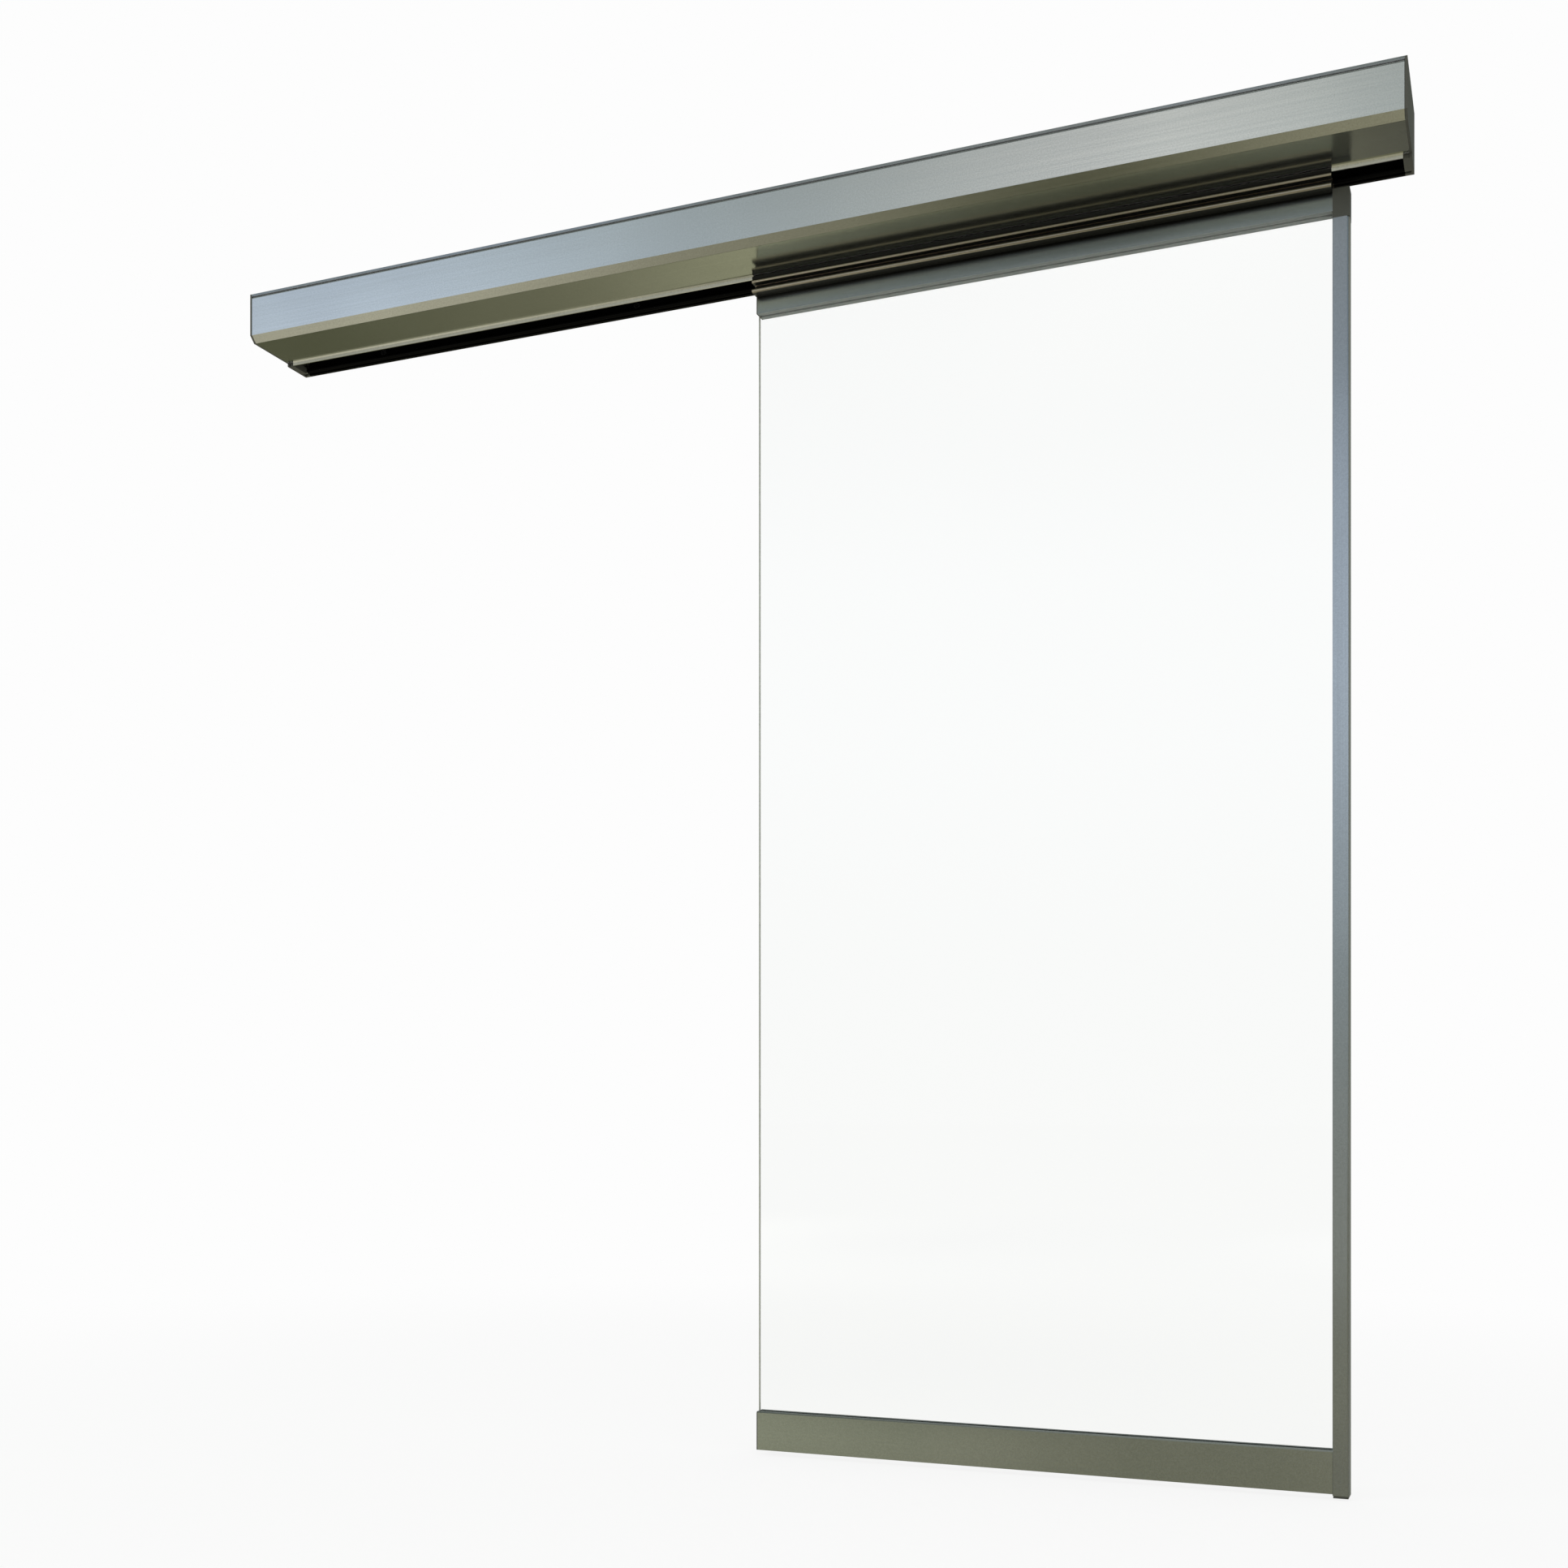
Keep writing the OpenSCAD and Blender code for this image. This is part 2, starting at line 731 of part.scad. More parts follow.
module idler_axle() {
  back = pulley_back + arm_gap + arm_t;
  front = pulley_front - arm_gap - arm_t;
  color("silver") {
    y_pin(front, back, pulley_x, belt_rise, idler_axle_r);
    y_pin(front - 3, front, pulley_x, belt_rise, idler_axle_r + 3);
    y_pin(back, back + 1.5, pulley_x, belt_rise, idler_axle_r + 2);
  }
}

module idler_base() {
  mid = fork_z + fork_t / 2;
  color("slategray") difference() {
    union() {
      y_run(-web_t - base_t, -web_t) span(base_x0, ledge_z, base_x1, fork_z + fork_t);
      x_run(base_x1 - base_t, base_x1) span(tension_y - 12, mid - 12, -web_t, fork_z + fork_t);
    }
    x_pin(base_x1 - base_t - cut, base_x1 + cut, tension_y, mid, tension_r + 0.3);
    y_pin(-web_t - base_t - cut, -web_t + cut, pulley_x, ledge_z + 8, 2.5);
  }
}

module tension_screw() {
  mid = fork_z + fork_t / 2;
  color("silver") {
    x_pin(pulley_x + fork_len / 2 - 11, base_x1, tension_y, mid, tension_r);
    x_pin(base_x1, base_x1 + tension_head, tension_y, mid, tension_r + 2.2);
  }
}

// A block that straddles the track, with its face at X = 0 turned to the right
module end_stop() {
  slack = 1;
  half_base = track_base_w / 2 + 1 + slack;
  x_run(-stop_len - buffer_len, -buffer_len) difference() {
    span(stop_front, ledge_z, -web_t, stop_z1);
    span(-leaf_c - half_base, ledge_z - cut, -leaf_c + half_base, stop_z0);
    span(stop_front - cut, ledge_z - cut, -ledge_d, buffer_z - buffer_r - 2);
  }
}

module end_stop_left() {
  color("darkslategray") translate([stop_x_left, 0, 0]) end_stop();
}

module end_stop_right() {
  color("darkslategray") translate([stop_x_right, 0, 0]) mirror([1, 0, 0]) end_stop();
}

module stop_buffers() {
  y = (plate_front + plate_back) / 2;
  color("black") {
    x_pin(stop_x_left - buffer_len, stop_x_left, y, buffer_z, buffer_r);
    x_pin(stop_x_right, stop_x_right + buffer_len, y, buffer_z, buffer_r);
  }
}

// Wall: bottom guide

module guide_bracket() {
  color("silver") difference() {
    translate([guide_x, 0, 0]) y_run(-guide_plate_t, 0)
      round_span(-guide_plate_w / 2, guide_plate_low, guide_plate_w / 2, guide_plate_top, 3);
    for (s = [-1, 1])
      y_pin(-guide_plate_t - cut, cut, guide_x + s * guide_holes / 2, guide_hole_z, guide_hole_r);
  }
}

module guide_block() {
  head_h = guide_in_h - 2 * guide_gap;
  neck_h = guide_open - 2 * guide_gap;
  color("whitesmoke") x_run(guide_x - guide_len / 2, guide_x + guide_len / 2) {
    span(rail_back - guide_lip - guide_in_d + guide_gap, guide_z - head_h / 2,
      rail_back - guide_lip - guide_gap, guide_z + head_h / 2);
    span(rail_back - guide_lip - guide_in_d + guide_gap, guide_z - neck_h / 2,
      -guide_plate_t, guide_z + neck_h / 2);
  }
}

// Front cover, which swings on the hook of the carrier

module front_cover() {
  zc = under_z + chamfer;
  color("lightsteelblue") x_run(-in_x + cover_gap, in_x - cover_gap) {
    translate([hinge_y, hinge_z]) circle(bead_hinge_r);
    polygon([
      [-header_d, hinge_z], [-header_d, zc], [-header_d + chamfer, under_z],
      [-header_d + chamfer, under_z + cover_t * sqrt(2)],
      [-header_d + cover_t, zc + cover_t * (sqrt(2) - 1)], [-header_d + cover_t, hinge_z]
    ]);
  }
}

// Leaf: glass and its frame

module glass_pane() {
  color("lightcyan") translate([leaf_x0, glass_front, glass_z0])
    cube([glass_x1 - leaf_x0, glass_t, glass_z1 - glass_z0]);
}

module hanger_profile() {
  gz = bead_z1 - front_bead_r;
  foot_y = bead_y + 0.2;
  color("darkgray") x_run(leaf_x0, rail_x1) difference() {
    union() {
      span(bead_y, hang_low, rail_back, hang_top);
      for (z = [bead_z1, bead_z2]) translate([bead_y, z]) circle(front_bead_r);
    }
    span(bead_y - 2 * front_bead_r, gz - groove_h, bead_y + groove_d, gz);
    span(bead_y + groove_d - groove_in, gz - groove_h - 2, bead_y + groove_d, gz + 2);
    span(-leaf_c - top_slot_open / 2, hang_top - top_slot_lip - cut,
      -leaf_c + top_slot_open / 2, hang_top + cut);
    span(-leaf_c - top_slot_in / 2, hang_top - top_slot_lip - top_slot_h,
      -leaf_c + top_slot_in / 2, hang_top - top_slot_lip);
    span(foot_y, hang_top - 2, foot_y + seal_foot, hang_top + cut);
  }
}

module top_edge_seal() {
  foot_y = bead_y + 0.2;
  fin_y = foot_y + 0.5 - seal_fin_t;
  color("black") x_run(leaf_x0, rail_x1) {
    span(foot_y, hang_top - 2, foot_y + seal_foot, hang_top + 1);
    span(fin_y, hang_top + 0.1, foot_y + seal_foot, hang_top + 1);
    span(fin_y, hang_top + 0.1, fin_y + seal_fin_t, hang_top + seal_fin_h);
  }
}

clamp_xs = [for (i = [0 : clamp_screw_n - 1])
  leaf_x0 + clamp_inset + i * (rail_x1 - leaf_x0 - 2 * clamp_inset) / (clamp_screw_n - 1)];

module clamp_rail_front() {
  color("darkgray") difference() {
    x_run(leaf_x0 + rail_cap_t, rail_x1) span(rail_front, clamp_low, gasket_front, hang_low);
    for (x = clamp_xs)
      y_pin(gasket_front - clamp_bite, gasket_front + cut, x, clamp_screw_z, clamp_screw_r - 0.5);
  }
}

module clamp_rail_back() {
  color("darkgray") difference() {
    x_run(leaf_x0 + rail_cap_t, rail_x1) {
      span(gasket_back, clamp_low, rail_back, hang_low);
      span(gasket_front, hang_low - clamp_web, rail_back, hang_low);
    }
    for (x = clamp_xs) {
      y_pin(gasket_front - cut, rail_back + cut, x, clamp_screw_z, clamp_screw_r + 0.3);
      y_pin(rail_back - clamp_head_h - 0.3, rail_back + cut, x, clamp_screw_z, clamp_head_r - 0.4);
    }
  }
}

module clamp_screws() {
  color("silver") for (x = clamp_xs) {
    y_pin(gasket_front - clamp_bite + 0.5, gasket_front, x, clamp_screw_z, clamp_screw_r - 0.5);
    y_pin(gasket_front, rail_back - clamp_head_h, x, clamp_screw_z, clamp_screw_r);
    y_pin(rail_back - clamp_head_h - 0.3, rail_back - 0.3, x, clamp_screw_z, clamp_head_r - 0.6);
  }
}

module clamp_gaskets() {
  color("black") x_run(leaf_x0 + rail_cap_t, rail_x1) {
    span(gasket_front, clamp_low, glass_front, glass_z1);
    span(glass_back, clamp_low, gasket_back, glass_z1);
  }
}

// A cap that closes the open end of the clamp rail, cut out for the glass
module clamp_rail_cap() {
  color("dimgray") {
    x_run(leaf_x0, leaf_x0 + rail_cap_t) difference() {
      span(rail_front, clamp_low, rail_back, hang_low);
      span(glass_front, clamp_low - cut, glass_back, glass_z1);
    }
    difference() {
      x_run(rail_x1, leaf_x1) span(rail_front, stile_top, rail_back, hang_low + stile_cap_rise);
      x_run(rail_x1 - cut, glass_x1 + gasket_t)
        span(glass_front, stile_top - cut, glass_back, glass_z1);
    }
  }
}

module bottom_outline() {
  polygon([
    [rail_front, leaf_low], [rail_front, bottom_top - edge], [rail_front + edge, bottom_top],
    [rail_back, bottom_top], [rail_back, leaf_low]
  ]);
}

module guide_groove() {
  inner = rail_back - guide_lip - guide_in_d;
  span(rail_back - guide_lip - cut, guide_z - guide_open / 2, rail_back + cut, guide_z + guide_open / 2);
  span(inner, guide_z - guide_in_h / 2, rail_back - guide_lip, guide_z + guide_in_h / 2);
}

module bottom_rail() {
  color("darkkhaki") x_run(leaf_x0 + rail_cap_t, rail_x1) difference() {
    bottom_outline();
    span(gasket_front, glass_z0 - gasket_t, gasket_back, bottom_top + cut);
    guide_groove();
    span(rail_front + 3, leaf_low + 3, rail_back - guide_lip - guide_in_d - 3, glass_z0 - gasket_t - 3);
  }
}

module bottom_gasket() {
  color("black") x_run(leaf_x0 + rail_cap_t, rail_x1) difference() {
    span(gasket_front, glass_z0 - gasket_t, gasket_back, bottom_top);
    span(glass_front, glass_z0, glass_back, bottom_top + cut);
  }
}

module bottom_rail_cap() {
  color("dimgray") x_run(leaf_x0, leaf_x0 + rail_cap_t) difference() {
    bottom_outline();
    span(glass_front, glass_z0, glass_back, bottom_top + cut);
    guide_groove();
  }
}

module closing_stile() {
  body_x1 = leaf_x1 - seal_t;
  color("slategray") difference() {
    z_run(stile_low + stile_foot_h, stile_top) difference() {
      polygon([
        [rail_x1, rail_back], [rail_x1, rail_front + 0.5], [rail_x1 + 0.5, rail_front],
        [body_x1 - edge, rail_front], [body_x1, rail_front + edge], [body_x1, rail_back]
      ]);
      span(rail_x1 - cut, gasket_front, glass_x1 + gasket_t, gasket_back);
      span(glass_x1 + gasket_t + 3, rail_front + 3, body_x1 - 3, rail_back - 3);
    }
    x_run(rail_x1 - cut, body_x1 + cut) guide_groove();
  }
}

module stile_gasket() {
  color("black") z_run(glass_z0, stile_top) difference() {
    span(rail_x1, gasket_front, glass_x1 + gasket_t, gasket_back);
    span(rail_x1 - cut, glass_front, glass_x1, glass_back);
  }
}

module stile_seal() {
  color("gray") z_run(stile_low + stile_foot_h, stile_top)
    span(leaf_x1 - seal_t, -leaf_c - stile_seal_w / 2, leaf_x1, -leaf_c + stile_seal_w / 2);
}

module stile_foot() {
  color("dimgray") z_run(stile_low, stile_low + stile_foot_h)
    span(rail_x1 + 1, rail_front + 1, leaf_x1 - seal_t, rail_back - 1);
}

// Leaf: carriages

module carriage() {
  color("gray") difference() {
    union() {
      y_run(plate_front, plate_back) {
        round_span(-carriage_len / 2, shelf_low, carriage_len / 2, plate_top, plate_corner);
        span(-carriage_len / 2, shelf_low, carriage_len / 2, shelf_low + 2 * plate_corner);
      }
      x_run(-carriage_len / 2, carriage_len / 2) span(plate_back, shelf_low, shelf_back, shelf_top);
    }
    for (s = [-1, 1]) {
      y_pin(plate_front - cut, plate_back + cut, s * wheel_pitch / 2, wheel_z, axle_r);
      z_pin(shelf_low - cut, shelf_top + cut, s * wheel_pitch / 2, -leaf_c, bolt_r + 0.4);
    }
    y_pin(plate_front - cut, plate_back + cut, 0, roller_z, roller_axle_r);
    y_run(plate_front - cut, plate_back + cut) round_span(-16, wheel_z - 12, 16, wheel_z + 8, 5);
  }
}

module carriage_left() {
  translate([carriage_xs[0], 0, 0]) carriage();
}

module carriage_right() {
  translate([carriage_xs[1], 0, 0]) carriage();
}

wheel_xs = [for (x = carriage_xs, s = [-1, 1]) x + s * wheel_pitch / 2];

module wheel_axles() {
  back = -leaf_c + bearing_w / 2 + 0.3;
  color("silver") for (x = wheel_xs) {
    y_pin(plate_front - head_t, plate_front, x, wheel_z, head_r);
    y_pin(plate_front, back + clip_t, x, wheel_z, axle_r);
    y_pin(plate_back, -leaf_c - bearing_w / 2 - 0.3, x, wheel_z, spacer_r);
    y_pin(back, back + clip_t, x, wheel_z, spacer_r);
  }
}

module roller_axles() {
  back = -leaf_c + roller_w / 2 + 0.3;
  color("silver") for (x = carriage_xs) {
    y_pin(plate_front - 2, plate_front, x, roller_z, roller_head_r);
    y_pin(plate_front, back + clip_t, x, roller_z, roller_axle_r);
    y_pin(plate_back, -leaf_c - roller_w / 2 - 0.3, x, roller_z, roller_spacer_r);
    y_pin(back, back + clip_t, x, roller_z, roller_spacer_r);
  }
}

// A wheel with a groove for the track's bead, and its bearing, turned about an axis along Y
module wheel(i) {
  side = wheel_w / 2;
  color("ivory") translate([wheel_xs[i], -leaf_c, wheel_z]) rotate([90, 0, 0])
    rotate_extrude() difference() {
      union() {
        span(axle_r + bore_gap, -bearing_w / 2, bearing_r, bearing_w / 2);
        span(bearing_r, -side, wheel_out, side);
      }
      translate([wheel_r + groove_r, 0]) circle(groove_r);
      for (s = [-1, 1]) translate([(bearing_r + wheel_r) / 2, s * side]) circle(1.6);
    }
}

module wheel_1() { wheel(0); }
module wheel_2() { wheel(1); }
module wheel_3() { wheel(2); }
module wheel_4() { wheel(3); }

module counter_roller(i) {
  color("ivory") translate([carriage_xs[i], -leaf_c, roller_z]) rotate([90, 0, 0]) rotate_extrude()
    span(roller_axle_r + bore_gap, -roller_w / 2, roller_r, roller_w / 2);
}

module counter_roller_1() { counter_roller(0); }
module counter_roller_2() { counter_roller(1); }

module hanger_bolts() {
  head_top = hang_top - top_slot_lip;
  color("silver") for (x = wheel_xs) {
    z_pin(head_top - cut, bolt_top, x, -leaf_c, bolt_r);
    translate([x, -leaf_c, head_top - bolt_head]) rotate(30)
      cylinder(h = bolt_head, r = bolt_head_r, $fn = 6);
  }
}

module hanger_nuts() {
  color("silver") for (x = wheel_xs, z = [hang_top, shelf_low - nut_t, shelf_top]) difference() {
    translate([x, -leaf_c, z]) cylinder(h = nut_t, r = nut_r, $fn = 6);
    z_pin(z - cut, z + nut_t + cut, x, -leaf_c, bolt_r);
  }
}

// Leaf: clamp on the belt's lower run

module belt_bracket() {
  color("slategray") translate([carriage_xs[0], 0, 0]) difference() {
    x_run(-jaw_len / 2, jaw_len / 2) {
      span(jaw_front, jaw_low_z - jaw_t, plate_front, jaw_low_z);
      span(plate_front - 3, jaw_low_z - jaw_t, plate_front, jaw_tab_top);
    }
    for (s = [-1, 1])
      z_pin(jaw_low_z - jaw_t - cut, jaw_low_z + cut, s * jaw_len / 4, jaw_screw_y, jaw_screw_r);
    y_pin(plate_front - 3 - cut, plate_front + cut, 0, roller_z, roller_head_r + 0.5);
  }
}

module belt_clamp_plate() {
  color("gray") translate([carriage_xs[0], 0, 0]) difference() {
    x_run(-jaw_len / 2, jaw_len / 2) {
      span(jaw_front, jaw_up_z, plate_front - 3, jaw_up_z + jaw_t);
      span(jaw_front, jaw_low_z, -belt_c - belt_w / 2 - 0.6, jaw_up_z);
    }
    for (s = [-1, 1])
      z_pin(jaw_low_z - cut, jaw_up_z + jaw_t + cut, s * jaw_len / 4, jaw_screw_y, jaw_screw_r);
  }
}

module belt_clamp_screws() {
  color("silver") for (s = [-1, 1]) let (x = carriage_xs[0] + s * jaw_len / 4) {
    z_pin(jaw_low_z - jaw_t, jaw_up_z + jaw_t, x, jaw_screw_y, jaw_screw_r);
    z_pin(jaw_up_z + jaw_t, jaw_up_z + jaw_t + 2.5, x, jaw_screw_y, jaw_screw_r + 1.4);
  }
}

carrier_profile();
running_track();
track_damping_strip();
end_cap_left();
end_cap_right();
end_cap_screws();
underside_panel();
slot_lip_trim();
panel_brackets();
motor_bracket();
motor_body();
gearbox();
control_unit();
control_unit_lid();
power_supply();
mains_terminal_block();
idler_base();
idler_fork();
idler_axle();
tension_screw();
toothed_belt();
end_stop_left();
end_stop_right();
stop_buffers();
guide_bracket();
guide_block();
front_cover();
glass_pane();
hanger_profile();
top_edge_seal();
clamp_rail_front();
clamp_rail_back();
clamp_screws();
clamp_gaskets();
bottom_rail();
bottom_gasket();
bottom_rail_cap();
clamp_rail_cap();
closing_stile();
stile_gasket();
stile_seal();
stile_foot();
carriage_left();
carriage_right();
wheel_axles();
roller_axles();
hanger_bolts();
hanger_nuts();
belt_bracket();
belt_clamp_plate();
belt_clamp_screws();
wheel_1();
wheel_2();
wheel_3();
wheel_4();
counter_roller_1();
counter_roller_2();
drive_pulley();
output_shaft();
idler_pulley();
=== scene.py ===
"""Looks of an automatic sliding door: one glass leaf hung in a slim header on a wall.

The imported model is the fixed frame. Its nodes keep their shapes and get the finishes of the real
door, and the pieces whose fine detail a solid can't carry are made here, in the nodes' places.
"""

import json
import logging
import math
from dataclasses import dataclass, field
from enum import Enum

import bmesh
import bpy
from mathutils import Matrix, Vector


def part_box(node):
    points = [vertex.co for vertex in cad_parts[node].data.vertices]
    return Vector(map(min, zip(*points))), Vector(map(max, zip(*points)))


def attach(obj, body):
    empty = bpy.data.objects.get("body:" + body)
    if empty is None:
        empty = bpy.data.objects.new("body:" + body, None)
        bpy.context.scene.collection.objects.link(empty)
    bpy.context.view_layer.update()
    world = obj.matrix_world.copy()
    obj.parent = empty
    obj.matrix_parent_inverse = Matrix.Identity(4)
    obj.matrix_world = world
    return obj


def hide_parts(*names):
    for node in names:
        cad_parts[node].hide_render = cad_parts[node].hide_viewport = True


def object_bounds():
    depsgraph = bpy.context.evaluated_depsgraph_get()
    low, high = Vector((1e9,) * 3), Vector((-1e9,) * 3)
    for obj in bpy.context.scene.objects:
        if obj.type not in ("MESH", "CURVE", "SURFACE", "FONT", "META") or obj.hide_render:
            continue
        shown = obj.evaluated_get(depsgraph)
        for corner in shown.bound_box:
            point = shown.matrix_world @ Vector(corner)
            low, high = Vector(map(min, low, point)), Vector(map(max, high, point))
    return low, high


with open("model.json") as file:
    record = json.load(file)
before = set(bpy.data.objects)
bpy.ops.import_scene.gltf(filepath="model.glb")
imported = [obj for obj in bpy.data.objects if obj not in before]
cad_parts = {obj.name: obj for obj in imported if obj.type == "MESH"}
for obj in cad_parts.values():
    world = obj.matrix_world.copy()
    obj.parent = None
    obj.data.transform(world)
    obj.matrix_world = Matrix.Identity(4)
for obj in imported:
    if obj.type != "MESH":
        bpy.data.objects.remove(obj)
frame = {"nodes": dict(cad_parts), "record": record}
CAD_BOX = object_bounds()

LOG = logging.getLogger("sliding_door")
MM = 0.001
UNDER_Z = -44.0  # height of the header's underside, in mm
TURN = "turn"  # attribute that holds the rotation of a repeated piece
PLAIN_GLOSS = 0.5  # specular level of ordinary paint
NOISE_REACH = {"From Min": 0.3, "From Max": 0.7}  # where nearly all of a noise's values lie
PATCH_REACH = {"From Min": 0.35, "From Max": 0.65}  # narrower, so that patches are distinct
Triple = tuple[float, float, float]
Colour = tuple[float, float, float, float]
Section = list[tuple[float, float]]
Feed = bpy.types.Node | bpy.types.NodeSocket


class Body(Enum):
    """The bodies that the screws, the glass and the brush ride on."""

    HEADER = "root"
    LEAF = "leaf"


class Slot(Enum):
    """The material slots of the record, one for each finish."""

    COVER = "cover_aluminium"
    CARRIER = "carrier_aluminium"
    UNDERSIDE = "underside_aluminium"
    LIP = "lip_aluminium"
    LEAF = "leaf_aluminium"
    TRACK = "track_aluminium"
    PULLEY = "pulley_aluminium"
    HEAT_SINK = "heat_sink_aluminium"
    CAST = "cast_aluminium"
    END_CAP = "end_cap_plastic"
    GLASS = "glass_clear"
    RUBBER_BLACK = "rubber_black"
    RUBBER_GREY = "rubber_grey"
    ZINC = "zinc_steel"
    SCREW = "screw_steel"
    AXLE = "axle_steel"
    MOTOR = "motor_paint"
    UNIT = "unit_plastic"
    LID = "lid_plastic"
    TERMINAL = "terminal_plastic"
    WHEEL = "wheel_plastic"
    GUIDE = "guide_plastic"
    STOP = "stop_plastic"


class Along(Enum):
    """The direction that a profile was drawn or brushed in, as the axis with the long grain."""

    X = 0
    Y = 1
    Z = 2
    NONE = 3


class Facing(Enum):
    """The rotation that turns a fastener's head from +Z to the way that it faces, in degrees."""

    LEFT = (0.0, -90.0, 0.0)
    RIGHT = (0.0, 90.0, 0.0)
    ROOM = (90.0, 0.0, 0.0)
    WALL = (-90.0, 0.0, 0.0)
    UP = (0.0, 0.0, 0.0)
    DOWN = (180.0, 0.0, 0.0)
    DOWN_FLAT = (180.0, 0.0, 30.0)  # with two flats of a hexagon along the door


def linear(hex_colour: str) -> Colour:
    """Turns an sRGB colour into the linear values that shaders work in.

    Args:
        hex_colour: six hex digits, such as "b7c0c8".

    Returns:
        Red, green and blue in linear light, and an alpha of 1.
    """
    parts = [int(hex_colour[i : i + 2], 16) / 255 for i in (0, 2, 4)]
    red, green, blue = (p / 12.92 if p <= 0.04045 else ((p + 0.055) / 1.055) ** 2.4 for p in parts)
    return red, green, blue, 1.0


def add_node(
    tree: bpy.types.NodeTree, kind: str, inputs: dict | None = None, **settings: object
) -> bpy.types.Node:
    """Adds a node with its settings, values and links.

    Args:
        tree: the node tree that gets the node.
        kind: the node's type, such as "ShaderNodeBump".
        inputs: for each input, by name or number, a value, the socket that feeds it, or the node
            whose first output in use feeds it.
        **settings: the node's own properties.

    Returns:
        The new node.
    """
    made = tree.nodes.new(kind)
    for name, value in settings.items():
        setattr(made, name, value)
    for name, value in (inputs or {}).items():
        if isinstance(value, bpy.types.Node):
            value = next(socket for socket in value.outputs if socket.enabled)
        if isinstance(value, bpy.types.NodeSocket):
            tree.links.new(value, made.inputs[name])
        else:
            made.inputs[name].default_value = value
    return made


def blank_tree(owner: bpy.types.Material | bpy.types.World) -> bpy.types.NodeTree:
    """Empties the node tree of a material or world.

    Args:
        owner: the material or world.

    Returns:
        Its node tree.
    """
    owner.use_nodes = True
    owner.node_tree.nodes.clear()
    return owner.node_tree


# Finishes


@dataclass(frozen=True)
class Grain:
    """The fine pattern of a surface.

    Attributes:
        size: how wide the pattern is, in mm.
        stretch: how many times longer it is along the grain's direction.
        along: the direction of the grain.
        tone: share by which the colour darkens in the pattern.
        gloss: how much the roughness changes over the pattern.
        height: depth of the pattern in mm.
        detail: how many finer layers the pattern has.
        cloud: share by which fine clouds change the colour up and down.
        cloud_size: how wide those clouds are, in mm.
    """

    size: float
    stretch: float = 1.0
    along: Along = Along.NONE
    tone: float = 0.1
    gloss: float = 0.05
    height: float = 0.01
    detail: float = 3.0
    cloud: float = 0.0
    cloud_size: float = 2.5

    def scale(self) -> Triple:
        """Gives the pattern's scale along X, Y and Z, in patterns per metre."""
        fine = 1 / (self.size * MM)
        return tuple(fine / self.stretch if i == self.along.value else fine for i in range(3))


